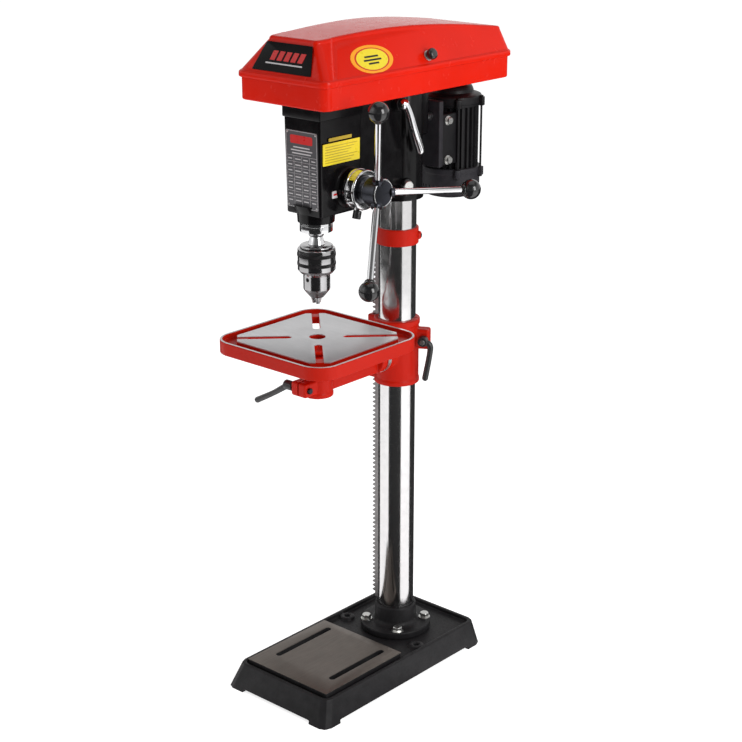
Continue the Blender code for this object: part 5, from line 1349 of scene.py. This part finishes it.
def wall_relief(back_of_front, rise):
    """How far the side wall is sunk: a groove behind the front pillar, and a facet under the upper edge."""
    start = 0.020 + 0.014 * rise
    groove = soft_step(back_of_front, start, start + 0.004) * (1 - soft_step(back_of_front, start + 0.007,
                                                                             start + 0.013))
    reach = max(0.0, 1 - back_of_front / 0.26)
    facet = soft_step(rise, 0.93 - 0.22 * reach, 1.0) * soft_step(back_of_front, start + 0.006,
                                                                  start + 0.016)
    return (0.0022 * groove + 0.0030 * facet * min(1.0, reach * 3)) * soft_step(rise, 0.0, 0.10)


def front_relief(x, rise):
    """How far the front wall is sunk between its pillars."""
    half = 0.080 - 0.023 * rise
    return 0.0014 * (1 - soft_step(abs(x), half - 0.002, half + 0.003)) * soft_step(rise, 0.02, 0.08)


def lid_ring(form, rise, grow, height):
    """One closed row round the lid; grow widens it, height gives a point's height from its way back."""
    hf = COVER_HALF + (TOP_FRONT.x - COVER_HALF) * rise + grow
    hr = COVER_HALF + (TOP_BACK.x - COVER_HALF) * rise + grow
    yf = FRONT + (TOP_FRONT.y - FRONT) * rise - grow
    yb = BACK + (TOP_BACK.y - BACK) * rise + grow
    corner = COVER_CORNER - 0.004 * rise + grow
    half_line = []
    across, lengthwise, turn_steps = EDGE_STEPS, 90, 10
    for step in range(across):
        half_line.append(((hf - corner) * step / across, yf))
    quarter = eased([(0, yf), (hf, yf), (hr, yb), (0, yb)], corner, steps=turn_steps)
    front_turn = [tuple(p) for p in quarter[1:turn_steps + 2]]
    back_turn = [tuple(p) for p in quarter[turn_steps + 2:-1]]
    half_line += front_turn
    start, end = Vector(front_turn[-1]), Vector(back_turn[0])
    for step in range(1, lengthwise):
        share = (step / lengthwise) ** 1.5
        half_line.append(tuple(start + (end - start) * share))
    half_line += back_turn
    for step in range(1, across + 1):
        half_line.append((back_turn[-1][0] * (1 - step / across), yb))
    row = []
    for x, y in half_line:
        way = max(0.0, min(1.0, (y - yf) / (yb - yf)))
        shown_rise = min(rise, 1.0)
        sink = wall_relief(y - yf, shown_rise) if x > hf * 0.6 and way > 0.01 else 0.0
        dip = front_relief(x, shown_rise) if y < yf + 0.0005 else 0.0
        row.append((x - sink, y + dip, height(way)))
    mirrored = [(-x, y, z) for x, y, z in row[-2:0:-1]]
    return [form.verts.new(place) for place in row + mirrored], len(row)


def make_lid():
    """The lid: a rolled lip, drafted walls with a grooved pillar, a rounded upper edge and an arched top."""
    form = bmesh.new()
    lip = ((0.0020, 0.0), (0.0034, 0.0007), (LIP_REACH, 0.0022), (LIP_REACH, 0.0082), (0.0035, 0.0102),
           (0.0020, 0.0116), (0.0006, 0.0126))
    rings = [lid_ring(form, 0.0, grow, lambda way, up=up: LIP + up) for grow, up in lip]
    rows = 26
    for row in range(rows + 1):
        rise = 0.012 + (1 - 0.012) * row / rows
        rings.append(lid_ring(form, rise, 0.0, lambda way, rise=rise:
                              BAND_TOP + (lid_crest(way) - EDGE - BAND_TOP) * rise))
    for step in range(1, 6):
        turn = step * pi / 10
        rings.append(lid_ring(form, 1.0, -EDGE * (1 - cos(turn)), lambda way, turn=turn:
                              lid_crest(way) - EDGE * (1 - sin(turn))))
    for (near, _), (far, _) in zip(rings, rings[1:]):
        for i in range(len(near)):
            j = (i + 1) % len(near)
            form.faces.new((near[i], near[j], far[j], far[i]))
    close_top(form, *rings[-1])
    bmesh.ops.recalc_face_normals(form, faces=form.faces)
    lid = from_form(form)
    wall = lid.modifiers.new("wall", "SOLIDIFY")
    wall.thickness = SHEET
    wall.offset = -1
    baked(lid)
    carve(lid, remove=(knob_bore(),))
    piece(lid, "belt_cover_lid_shell", "lid", RED_SHEET, ("belt_cover_lid",), 32)


def close_top(form, ring, half_count):
    """Strips between the right and the left of the last row, from its front edge to its back edge."""
    right = ring[:half_count]
    left = [right[0]] + ring[:half_count - 1:-1] + [right[-1]]
    columns = 2 * EDGE_STEPS
    last = half_count - 1 - EDGE_STEPS
    rows = [right[EDGE_STEPS::-1] + left[1:EDGE_STEPS + 1]]
    for near, far in zip(right[EDGE_STEPS + 1:last], left[EDGE_STEPS + 1:last]):
        way = (near.co.y - FRONT) / (BACK - FRONT)
        crown = 0.0010 * soft_step(way, 0.04, 0.35) * (1 - soft_step(way, 0.8, 0.98))
        row = [near]
        for step in range(1, columns):
            share = step / columns
            place = near.co.lerp(far.co, share)
            place.z += crown * (1 - (2 * share - 1) ** 2)
            row.append(form.verts.new(place))
        rows.append(row + [far])
    rows.append(right[last:] + left[-2:last - 1:-1])
    for near, far in zip(rows, rows[1:]):
        for i in range(columns):
            form.faces.new((near[i], near[i + 1], far[i + 1], far[i]))


def knob_line():
    """The middle of the lid knob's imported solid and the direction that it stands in."""
    middle = Extent("lid_knob").mid
    way = (middle.y - FRONT) / (BACK - FRONT)
    top_x = TOP_FRONT.x + (TOP_BACK.x - TOP_FRONT.x) * way
    outward = Vector((lid_crest(way) - BAND_TOP, 0, COVER_HALF - top_x)).normalized()
    return middle - outward * 0.0050, outward


def knob_bore():
    """The hole in the lid's wall for the knob's stem."""
    place, outward = knob_line()
    return rod(place - outward * 0.01, place + outward * 0.01, 0.0030, 32, 0)


def make_lid_knob():
    """The turned knob on the lid's right wall, with its washer."""
    place, outward = knob_line()
    knob = lathe([(0, 0.0165), (0.0070, 0.0162), (0.0098, 0.0140), (0.0106, 0.0105), (0.0100, 0.0060),
                  (0.0080, 0.0022),
                  (0.0074, 0.0006), (0.0026, 0.0006), (0.0026, -0.0055), (0, -0.0055)],
                 along(place, outward), 64, 0.001)
    piece(knob, "lid_knob_turned", "lid", BLACK_PLASTIC, ("lid_knob",), 35)
    ferrule = lathe([(0.0028, 0.0010), (0.0092, 0.0010), (0.0098, -0.0002), (0.0098, -0.0010),
                     (0.0028, -0.0010)],
                    along(place, outward), 48, 0.0003)
    piece(ferrule, "lid_knob_washer", "lid", BOLT_STEEL, angle=30)


def make_lid_plates():
    """A plain black panel with a generic stripe on the lid's front, and a plain oval on its right side."""
    slope = Vector((0, TOP_FRONT.y - FRONT, TOP_FRONT.z - BAND_TOP)).normalized()
    low_z, high_z = 1.2222, 1.2700
    share = (low_z - BAND_TOP) / slope.z
    origin = Vector((0, FRONT + slope.y * share + 0.0013, low_z))
    place = axes(origin, (1, 0, 0), slope)
    tall = (high_z - low_z) / slope.z
    corners = [(-0.0725, 0), (0.0700, 0), (0.0545, tall), (-0.0545, tall)]
    outline = [tuple(p) for p in eased(corners, 0.003, closed=True)]
    piece(slab(outline, 0.0, 0.0006, place, 0.0002, 2), "lid_front_panel", "lid", PLATE_BLACK,
          angle=30)
    bars = []
    for i in range(5):
        x = -0.036 + i * 0.0165
        lean = 0.0045
        bars.append(slab([(x, 0.0205), (x + 0.0115, 0.0205), (x + 0.0115 + lean, 0.0375),
                          (x + lean, 0.0375)],
                         0.0005, 0.0011, place))
    piece(joined(bars), "lid_front_bars", "lid", PLATE_RED, smooth=False)
    line = slab(rounded_rectangle((-0.044, 0.0135), (0.044, 0.0160), 0.001), 0.0005, 0.0010, place)
    piece(line, "lid_front_line", "lid", PLATE_PALE, smooth=False)

    middle_y, middle_z = -0.177, 1.2405
    for name, look, slot_name, reach, inner, lift in (
            ("lid_oval", PLATE_ORANGE, "aluminium", 1.0, 0.0, 0.0004),
            ("lid_oval_ring", PLATE_RED, "red_plastic", 0.82, 0.75, 0.0007),
            ("lid_oval_middle", PLATE_YELLOW, "aluminium", 0.75, 0.0, 0.0006)):
        piece(wall_oval(middle_y, middle_z, reach, inner, lift), name, "lid", look, angle=30)
    words = []
    for y, z, half in ((0, 0.0045, 0.017), (0, -0.0010, 0.022), (0, -0.0065, 0.013)):
        words.append(wall_bar(middle_y + y, middle_z + z, half, 0.0014, 0.0008))
    piece(joined(words), "lid_oval_lines", "lid", INK, smooth=False)


def wall_oval(middle_y, middle_z, reach, inner, lift):
    """An elliptical foil that lies on the lid's curved right wall."""
    sides, rows = 96, 8
    form = bmesh.new()
    layers = []
    for height in (lift, 0.0):
        rings = []
        for row in range(rows + 1):
            share = inner + (reach - inner) * row / rows
            ring = []
            for side in range(sides):
                turn = 2 * pi * side / sides
                y = middle_y + OVAL_HALF[0] * share * cos(turn)
                z = middle_z + OVAL_HALF[1] * share * sin(turn)
                ring.append(form.verts.new(wall_point(y, z, height)))
            rings.append(ring)
        layers.append(rings)
    for near, far in [pair for rings in layers for pair in zip(rings, rings[1:])] + [
            (layers[0][-1], layers[1][-1]), (layers[0][0], layers[1][0])]:
        for side in range(sides):
            after = (side + 1) % sides
            form.faces.new((near[side], near[after], far[after], far[side]))
    bmesh.ops.remove_doubles(form, verts=form.verts, dist=1e-6)
    bmesh.ops.recalc_face_normals(form, faces=form.faces)
    return from_form(form, "oval")


def wall_bar(middle_y, middle_z, half, tall, lift):
    """A thin bar that lies on the lid's curved right wall."""
    columns = 12
    form = bmesh.new()
    rows = []
    for column in range(columns + 1):
        y = middle_y - half + 2 * half * column / columns
        rows.append([form.verts.new(wall_point(y, middle_z + z, height))
                     for z, height in ((-tall, 0), (tall, 0), (tall, lift), (-tall, lift))])
    for near, far in zip(rows, rows[1:]):
        for i in range(4):
            form.faces.new((near[i], near[(i + 1) % 4], far[(i + 1) % 4], far[i]))
    form.faces.new(rows[0])
    form.faces.new(rows[-1][::-1])
    bmesh.ops.recalc_face_normals(form, faces=form.faces)
    return from_form(form, "bar")


def cover_outline(shrink=0.0):
    """The outline of the pan seen from above."""
    return rounded_rectangle((-COVER_HALF + shrink, FRONT + shrink), (COVER_HALF - shrink, BACK - shrink),
                             COVER_CORNER - shrink, 14)


def make_pan():
    """The cover's lower half, the idler's post and four bolts down to the head."""
    low, high = PAN.low.z, LIP - GAP
    pan = slab(cover_outline(), low, high + 0.01, ease=0.0028, steps=5)
    inside = slab(cover_outline(SHEET), low + SHEET, high + 0.03, ease=0.0015, steps=3)
    above = block((-0.2, -0.4, high), (0.2, 0.3, high + 0.05))
    spindle_hole = rod((0, SPINDLE_Y, low - 0.01), (0, SPINDLE_Y, low + 0.01), 0.024, FINE, 0)
    slot_outline = rounded_rectangle((-0.024, MOTOR_Y - 0.046), (0.024, MOTOR_Y + 0.022), 0.012, 12)
    carve(pan, remove=(inside, above, spindle_hole, slab(slot_outline, low - 0.01, low + 0.02)))
    piece(pan, "belt_cover_pan_shell", "root", RED_SHEET, ("belt_cover_pan",), 32)
    idler_y, seat = axis_point("idler_spin").y, Extent("idler_pulley").low.z - GAP
    post = lathe([(0, PAN.high.z), (0.0068, PAN.high.z), (0.0076, PAN.high.z - 0.0008), (0.0076, seat),
                  (0.0160, seat),
                  (0.0160, low + SHEET), (0, low + SHEET)], Matrix.Translation((0, idler_y, 0)), 64, 0.0005)
    piece(post, "idler_post", "root", STEEL, angle=30)
    screws = [hex_bolt(0.010, Matrix.Translation((x, y, low + SHEET)))
              for x in (-0.030, 0.030) for y in (-0.165, -0.085)]
    piece(joined(screws), "cover_mounting_bolts", "root", BOLT_STEEL, angle=30)


def make_hinge():
    """The lid's hinge pin, knuckles and leaves."""
    pin = Extent("lid_hinge_pin")
    x, z = axis_point("lid_hinge").x, axis_point("lid_hinge").z
    rods = [rod((x, pin.low.y, z), (x, pin.high.y, z), 0.0028, 32, 0.0005)]
    knuckles = 5
    for i in range(knuckles):
        centre = -0.185 + 0.290 * i / (knuckles - 1)
        rods.append(rod((x, centre - 0.011, z), (x, centre + 0.011, z), 0.0036, 32, 0.0004))
    leaves = [block((x - 0.001, y - 0.008, pin.low.z), (-COVER_HALF - GAP, y + 0.008, z + 0.001), 0.0004)
              for y in (-0.190, 0.110)]
    piece(joined(rods + leaves), "lid_hinge_detail", "root", HUB_STEEL, ("lid_hinge_pin",),
          30)


# ---------------------------------------------------------------- belt drive


def make_pulleys():
    """Three stepped pulleys with V grooves and a hub recess."""
    rows = (("spindle_pulley", (0.035, 0.048, 0.060), 0.0089, "spindle_pulley"),
            ("idler_pulley", (0.062, 0.050, 0.038), 0.0080, "idler"),
            ("motor_pulley", (0.022, 0.030, 0.037), 0.0081, "motor_shaft"))
    for node, steps, bore, body in rows:
        y = Extent(node).mid.y
        line = [(bore, PULLEY_LOW + STEP * 3)]
        for index in reversed(range(3)):
            radius, low = steps[index], PULLEY_LOW + STEP * index
            line += [(radius, low + STEP - 0.0004), (radius, low + STEP - 0.0026),
                     (radius - GROOVE, low + STEP - 0.0066),
                     (radius - GROOVE, low + 0.0066), (radius, low + 0.0026), (radius, low + 0.0004)]
        line.append((bore, PULLEY_LOW))
        wheel = lathe(line, Matrix.Translation((0, y, 0)), FINE, 0.0003)
        top = PULLEY_LOW + STEP * 3
        dish = lathe([(0, top + 0.01), (steps[2] - 0.008, top + 0.01), (steps[2] - 0.011, top - 0.003),
                      (0.0150, top - 0.003), (0.0150, top + 0.005), (0, top + 0.005)],
                     Matrix.Translation((0, y, 0)), 64, 0.0004)
        piece(carve(wheel, remove=(dish,)), node + "_turned", body, TURNED_ALUMINIUM, (node,),
              28)


def make_belts():
    """Two V belts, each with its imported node's run round two pulleys."""
    spindle, idler, motor = (Extent(n).mid.y for n in ("spindle_pulley", "idler_pulley", "motor_pulley"))
    ride = 0.0002
    for name, step, first, second in (("front_belt", 1, (spindle, 0.048 - ride), (idler, 0.050 - ride)),
                                      ("rear_belt", 0, (idler, 0.062 - ride), (motor, 0.022 - ride))):
        (y1, r1), (y2, r2) = first, second
        lean = atan2((r1 - r2), sqrt((y2 - y1) ** 2 - (r1 - r2) ** 2))
        z = PULLEY_LOW + STEP * (step + 0.5)
        form = bmesh.new()
        section = ((0.0, 0.0040), (0.0004, 0.0042), (0.0055, 0.0024), (0.0055, -0.0024), (0.0004, -0.0042),
                   (0.0, -0.0040))
        rows = []
        for depth, reach in section:
            line = arc((y1, 0), r1 - depth, pi / 2 - lean, 3 * pi / 2 + lean, 48)
            line += arc((y2, 0), r2 - depth, -pi / 2 + lean, pi / 2 - lean, 48)
            rows.append([form.verts.new((across, y, z + reach)) for y, across in line])
        for row, after in zip(rows, rows[1:] + rows[:1]):
            for i in range(len(row)):
                j = (i + 1) % len(row)
                form.faces.new((row[i], row[j], after[j], after[i]))
        bmesh.ops.recalc_face_normals(form, faces=form.faces)
        piece(from_form(form), name + "_cord_wrapped", "root", BELT_RUBBER, (name,), 25)


# ---------------------------------------------------------------- motor

def make_motor():
    """The finned motor between its two bells, with its foot and through bolts."""
    centre = Vector((0, MOTOR_Y, 0))
    at = Matrix.Translation(centre)
    low, high = MOTOR.low.z, MOTOR.high.z
    radius, bell = 0.0540, BELL.high.x

    def fin(turn, z):
        return -0.0048 * soft_step(-cos(turn * FINS), -0.25, 0.35)

    body = lathe([(0, high), (radius, high), (radius, low), (0, low)], at, FINS * 12, 0.0, wave=fin)
    foot_front = MOTOR.low.y
    foot = block((-0.046, foot_front, low + 0.014), (0.046, MOTOR_Y - 0.030, high - 0.006), 0.002)
    carve(body, add=(foot,))
    piece(body, "motor_finned_frame", "motor", BLACK_MOTOR, ("motor_frame",), 30)
    bolts = []
    for z in (low + 0.024, high - 0.018):
        for side in (-1, 1):
            bolts.append(hex_bolt(0.0125, along((side * 0.0459, MOTOR_Y - 0.066, z), (side, 0, 0),
                                                radians(11))))
    piece(joined(bolts), "motor_foot_bolts", "motor", BOLT_STEEL, angle=30)

    bottom, top = BELL.low.z, BELL.high.z
    shaft_bore = 0.0084
    cap = lathe([(shaft_bore, top), (0.0330, top), (0.0400, top - 0.0030), (0.0430, top - 0.0095),
                 (0.0435, top - 0.0150),
                 (0.0530, top - 0.0175), (bell - 0.0010, top - 0.0195), (bell, top - 0.0220),
                 (bell, bottom + 0.006),
                 (bell - 0.0015, bottom + 0.0045), (bell - 0.0015, bottom), (shaft_bore, bottom)],
                at, FINE, 0.0015)
    ears = [bell_ear(turn, bottom + 0.0005, bottom + 0.0170, 0.0668) for turn in EAR_TURNS]
    carve(cap, add=ears)
    piece(cap, "motor_upper_bell", "motor", BLACK_MOTOR, ("motor_end_bell",), 32)

    fan_low, fan_high = FAN.low.z, FAN.high.z
    cup = lathe([(0, fan_high), (bell, fan_high), (bell, fan_high - 0.010),
                 (bell - 0.0012, fan_high - 0.0115),
                 (bell - 0.0012, fan_low + 0.024), (bell - 0.0040, fan_low + 0.0110),
                 (bell - 0.0120, fan_low + 0.0030),
                 (bell - 0.0220, fan_low), (0, fan_low)], at, FINE, 0.002)
    cuts = []
    for index in range(24):
        turn = Matrix.Rotation(2 * pi * index / 24, 4, "Z")
        outline = rounded_rectangle((0.0150, -0.0016), (0.0350, 0.0016), 0.0015, 6)
        cuts.append(slab(outline, fan_low - 0.004, fan_low + 0.004, at @ turn))
    for index in range(36):
        turn = Matrix.Rotation(2 * pi * (index + 0.5) / 36, 4, "Z")
        cuts.append(block((bell - 0.004, -0.0014, fan_low + 0.0175), (bell + 0.004, 0.0014,
                                                                      fan_low + 0.0265),
                          place=at @ turn))
    lugs = [bell_ear(turn, fan_high - 0.0170, fan_high - 0.0005, 0.0668) for turn in EAR_TURNS]
    carve(cup, add=lugs, remove=(joined(cuts),))
    piece(cup, "motor_lower_bell", "motor", GREY_MOTOR, ("motor_fan_cover",), 32)
    through = []
    for turn in EAR_TURNS:
        spot = centre + Vector((cos(turn), sin(turn), 0)) * 0.0612
        through.append(rod(spot + UP * (fan_high - 0.019), spot + UP * (bottom + 0.0185), 0.0021, 24,
                           0.0002))
        through.append(hexagon(0.0070, 0.0034, Matrix.Translation(spot + UP * (bottom + 0.0168))))
        through.append(hexagon(0.0070, 0.0034, along(spot + UP * (fan_high - 0.0168), (0, 0, -1))))
    piece(joined(through), "motor_through_bolts", "motor", BLACK_MOTOR, angle=30)


def bell_ear(turn, low, high, reach):
    """A rounded lug on a motor bell for one of its through bolts."""
    outline = rounded_rectangle((0.050, -0.0062), (reach, 0.0062), 0.0035, 6)
    return slab(outline, low, high, Matrix.Translation((0, MOTOR_Y, 0)) @ Matrix.Rotation(turn, 4, "Z"),
                0.0008, 2)


def make_motor_mount():
    """The motor's plate, its two slide bars and its shaft."""
    low, high = PLATE.low, PLATE.high
    plate = block(low, high, 0.0022, steps=4)
    cuts = []
    for name in ("slide_bar_left", "slide_bar_right"):
        bar = Extent(name)
        x, z, radius = bar.mid.x, bar.mid.z, bar.size.x / 2
        cuts.append(rod((x, low.y - 0.01, z), (x, high.y + 0.01, z), radius + 0.0003, 48, 0))
        shape = lathe([(0, bar.size.y), (radius - 0.0010, bar.size.y), (radius, bar.size.y - 0.0010),
                       (radius, 0.0010),
                       (radius - 0.0010, 0), (0, 0)], along((x, bar.low.y, z), (0, 1, 0)), 64, 0.0003)
        piece(shape, name + "_ground", "motor", STEEL, (name,), 30)
    carve(plate, remove=cuts)
    piece(plate, "motor_plate_casting", "motor", GREY_MOTOR, ("motor_mount_plate",), 30)
    shaft = Extent("motor_shaft")
    spin = lathe([(0, shaft.size.z), (0.0070, shaft.size.z), (0.0078, shaft.size.z - 0.0010), (0.0078, 0),
                  (0, 0)],
                 Matrix.Translation((0, MOTOR_Y, shaft.low.z)), 64, 0.0003)
    piece(spin, "motor_shaft_ground", "motor_shaft", STEEL, ("motor_shaft",), 30)


def make_tension_lever():
    """The bent lever that moves the motor along its bars, on a shaft through the head."""
    lever = Extent("tension_lever")
    pivot = axis_point("tension_lever_turn")
    shaft = rod((lever.low.x, pivot.y, pivot.z), (pivot.x - 0.004, pivot.y, pivot.z), 0.0070, 48, 0.0006)
    hub = lathe([(0, 0.0032), (0.0050, 0.0027), (0.0085, 0.0008), (0.0098, -0.0020), (0.0100, -0.0086),
                 (0, -0.0086)],
                along(pivot, (1, 0, 0)), 64, 0.0020)
    end_y = lever.high.y - 0.0085
    blade = tube([pivot + Vector((-0.003, 0, 0.002)), pivot + Vector((0.0008, 0.008, -0.018)),
                  pivot + Vector((0.0030, 0.019, -0.050)),
                  Vector((pivot.x + 0.004, end_y, pivot.z - 0.090))],
                 [0.0068, 0.0072, 0.0078, 0.0080], 40)
    carve(hub, add=(blade, shaft))
    piece(hub, "tension_lever_bar", "tension_lever", CHROME, ("tension_lever",), 40)


# ---------------------------------------------------------------- clamps and lift

def make_locks():
    """Two black clamp levers: one for the bracket on the column, one for the arm on the table's post."""
    centre = axis_point("bracket_lock_turn")
    side = Vector((-sin(CLAMP_TURN), cos(CLAMP_TURN), 0))
    out = Vector((cos(CLAMP_TURN), sin(CLAMP_TURN), 0))
    start = centre - side * 0.0235
    hub = lathe([(0, -0.0318), (0.0085, -0.0318), (0.0098, -0.0300), (0.0098, -0.0165), (0.0078, -0.0145),
                 (0, -0.0145)], along(centre, side), 48, 0.0010)
    grip = tube([start, start + out * 0.0125 + UP * -0.006, start + out * 0.0140 + UP * -0.022,
                 start + out * 0.0050 + UP * -0.075], [0.0062, 0.0062, 0.0056, 0.0060], 32)
    carve(hub, add=(grip,))
    piece(hub, "bracket_lock_grip", "bracket_lock", SATIN_PLASTIC,
          ("bracket_lock_lever",), 38)
    bolt = rod(centre + side * 0.020, centre - side * 0.0345, 0.0049, 32, 0.0005)
    nut = hexagon(0.0135, 0.0060, along(centre + side * 0.0142, side))
    tip = lathe([(0, 0.0012), (0.0034, 0.0009), (0.0040, -0.0010), (0, -0.0010)],
                along(centre - side * 0.0319, -side), 32,
                0.0003)
    piece(joined([bolt, nut, tip]), "bracket_lock_bolt", "bracket_lock", BOLT_STEEL, angle=30)

    pivot = axis_point("table_lock_turn")
    y, z = pivot.y, pivot.z
    hub = lathe([(0, 0.0420), (0.0075, 0.0420), (0.0092, 0.0400), (0.0092, 0.0200), (0, 0.0200)],
                along((0, y, z), (-1, 0, 0)), 48, 0.0010)
    grip = tube([(-0.034, y, z), (-0.050, y, z - 0.010), (-0.075, y, z - 0.026), (-0.117, y, z - 0.0495)],
                [0.0062, 0.0058, 0.0053, 0.0060], 32)
    carve(hub, add=(grip,))
    piece(hub, "table_lock_grip", "table_lock", SATIN_PLASTIC, ("table_lock_lever",), 38)
    bolt = rod((0.022, y, z), (-0.0435, y, z), 0.0039, 32, 0.0004)
    head = hexagon(0.0105, 0.0048, along((0.0193, y, z), (1, 0, 0)))
    piece(joined([bolt, head]), "table_lock_bolt", "table_lock", HUB_STEEL, angle=30)


def make_lift():
    """The crank that lifts the table; its worm and gear keep their packed teeth."""
    kept_node("lift_gear", RACK_STEEL)
    kept_node("lift_worm", STEEL)
    out = Vector((cos(RACK_TURN), sin(RACK_TURN), 0))
    across = Vector((-sin(RACK_TURN), cos(RACK_TURN), 0))
    height = Extent("lift_worm").mid.z
    throw, face = 0.055, 0.150
    place = axes(out * (face + 0.0003) + UP * height, across, UP)
    outline = arc((0, throw), 0.0085, 0, pi, 24) + arc((0, 0), 0.0125, pi, 2 * pi, 32)
    arm = slab(outline, 0.0, 0.0085, place, 0.0016, 4)
    boss = lathe([(0, 0.0115), (0.0105, 0.0115), (0.0122, 0.0090), (0.0122, 0), (0, 0)], place, 48, 0.0010)
    pin = rod(place @ Vector((0, throw, 0.004)), place @ Vector((0, throw, 0.0300)), 0.0039, 32, 0.0005)
    carve(arm, add=(boss, pin))
    piece(arm, "lift_crank_arm", "crank", BLACK_CAST, ("lift_crank",), 32)
    origin = out * (face + 0.011) + UP * (height + throw)
    grip = lathe([(0, 0.0253), (0.0058, 0.0253), (0.0080, 0.0236), (0.0096, 0.0190), (0.0094, 0.0140),
                  (0.0078, 0.0040),
                  (0.0076, 0.0004), (0.0044, 0.0004), (0.0044, 0.0200), (0, 0.0200)], along(origin, out),
                 64, 0.0006)
    piece(grip, "crank_grip_turned", "crank_grip", BLACK_PLASTIC, ("crank_grip",), 38)


# ---------------------------------------------------------------- studio

def floor_look():
    """White paper, lit from below."""
    look = Look("floor_paper", (0.86, 0.86, 0.865), 0.7, gloss=0.0)
    look.shader.inputs["Emission Color"].default_value = (1, 1, 1, 1)
    look.shader.inputs["Emission Strength"].default_value = FLOOR_GLOW
    look.colour(look.blend(look.ramp(look.noise(3, 4), 0.0, 1.0), (0.86, 0.86, 0.865), (0.84, 0.84, 0.845)))
    look.bump(look.noise(400, 3), 0.00004, 0.4)
    return look.material


def make_floor():
    """The pale floor, and three dark sheets on it that only polished metal reflects."""
    form = bmesh.new()
    bmesh.ops.create_grid(form, x_segments=4, y_segments=4, size=16)
    floor = from_form(form, "studio_floor")
    floor.data.materials.append(floor_look())
    black = Look("flag_cloth", (0.012, 0.012, 0.013), 0.9)
    black.bump(black.noise(900, 3), 0.0001)
    for name, first, last, near in (("front_flag", -50, 28, 0.15), ("rear_flag", 92, 236, 0.15),
                                    ("left_flag", -122, -50, 3.6)):
        start, end = radians(first) + CAMERA_TURN, radians(last) + CAMERA_TURN
        sector = arc((0, 0), 15.0, start, end, 30) + arc((0, 0), near, end, start, 30)
        flag = slab(sector, 0.0008, 0.0012)
        flag.name = name
        flag.data.materials.append(black.material)
        flag.visible_camera = False
        flag.visible_diffuse = False
        flag.visible_shadow = False


def make_camera():
    """The camera, to the right of the operator's side and a little above."""
    camera = bpy.data.objects.new("camera", bpy.data.cameras.new("camera"))
    camera.data.lens = CAMERA_LENS
    camera.data.sensor_width = 36
    camera.data.clip_end = 60
    camera.location = CAMERA_PLACE
    camera.rotation_euler = (pi / 2 - CAMERA_PITCH, 0, CAMERA_AZIMUTH)
    bpy.context.scene.collection.objects.link(camera)
    bpy.context.scene.camera = camera


def area_light(name, place, aim, size, power):
    light = bpy.data.lights.new(name, "AREA")
    light.shape = "RECTANGLE"
    light.size, light.size_y = size
    light.energy = power
    lamp = bpy.data.objects.new(name, light)
    lamp.location = place
    lamp.rotation_euler = (Vector(aim) - Vector(place)).to_track_quat("-Z", "Y").to_euler()
    lamp.visible_camera = False
    bpy.context.scene.collection.objects.link(lamp)


def falling(tree, value, start, end):
    """A value that falls from 1 to 0.15 while another rises from start to end."""
    fall = tree.nodes.new("ShaderNodeMapRange")
    for name, setting in (("From Min", start), ("From Max", end), ("To Min", 1.0), ("To Max", 0.15)):
        fall.inputs[name].default_value = setting
    tree.links.new(value, fall.inputs["Value"])
    return fall.outputs[0]


def make_world():
    """A white surround that is darker overhead and towards the front."""
    world = bpy.data.worlds.new("studio")
    world.use_nodes = True
    tree = world.node_tree
    backdrop = tree.nodes["Background"]
    backdrop.inputs["Color"].default_value = (1, 1, 1, 1)
    direction = tree.nodes.new("ShaderNodeTexCoord").outputs["Generated"]
    parts = tree.nodes.new("ShaderNodeSeparateXYZ")
    tree.links.new(direction, parts.inputs[0])
    ahead = tree.nodes.new("ShaderNodeVectorMath")
    ahead.operation = "DOT_PRODUCT"
    tree.links.new(direction, ahead.inputs[0])
    ahead.inputs[1].default_value = (cos(CAMERA_TURN), sin(CAMERA_TURN), 0)
    both = tree.nodes.new("ShaderNodeMath")
    both.operation = "MULTIPLY"
    tree.links.new(falling(tree, parts.outputs["Z"], 0.42, 0.75), both.inputs[0])
    tree.links.new(falling(tree, ahead.outputs["Value"], 0.45, 0.85), both.inputs[1])
    tree.links.new(both.outputs[0], backdrop.inputs["Strength"])
    bpy.context.scene.world = world


def make_lights():
    area_light("key", (-1.5, -2.6, 2.7), (0, -0.1, 0.75), (1.6, 2.0), 7)
    area_light("side", (2.9, -0.3, 1.9), (0, -0.1, 0.8), (1.2, 2.0), 55)
    area_light("top", (0.2, 0.3, 3.4), (0, 0, 0.7), (2.4, 2.4), 14)


make_camera()
make_base()
make_flange()
make_column()
make_rack()
make_collar()
make_bracket()
make_tilt_scale()
make_tilt_bolt()
make_arm()
make_table()
make_head()
make_front_plate()
make_side_plates()
make_spring_housing()
make_switch_box()
make_quill()
make_spindle()
make_chuck()
make_feed()
make_depth_ring()
make_lid()
make_lid_knob()
make_lid_plates()
make_pan()
make_hinge()
make_pulleys()
make_belts()
make_motor()
make_motor_mount()
make_tension_lever()
make_locks()
make_lift()
make_floor()
make_world()
make_lights()

bpy.context.scene.view_settings.view_transform = "Standard"
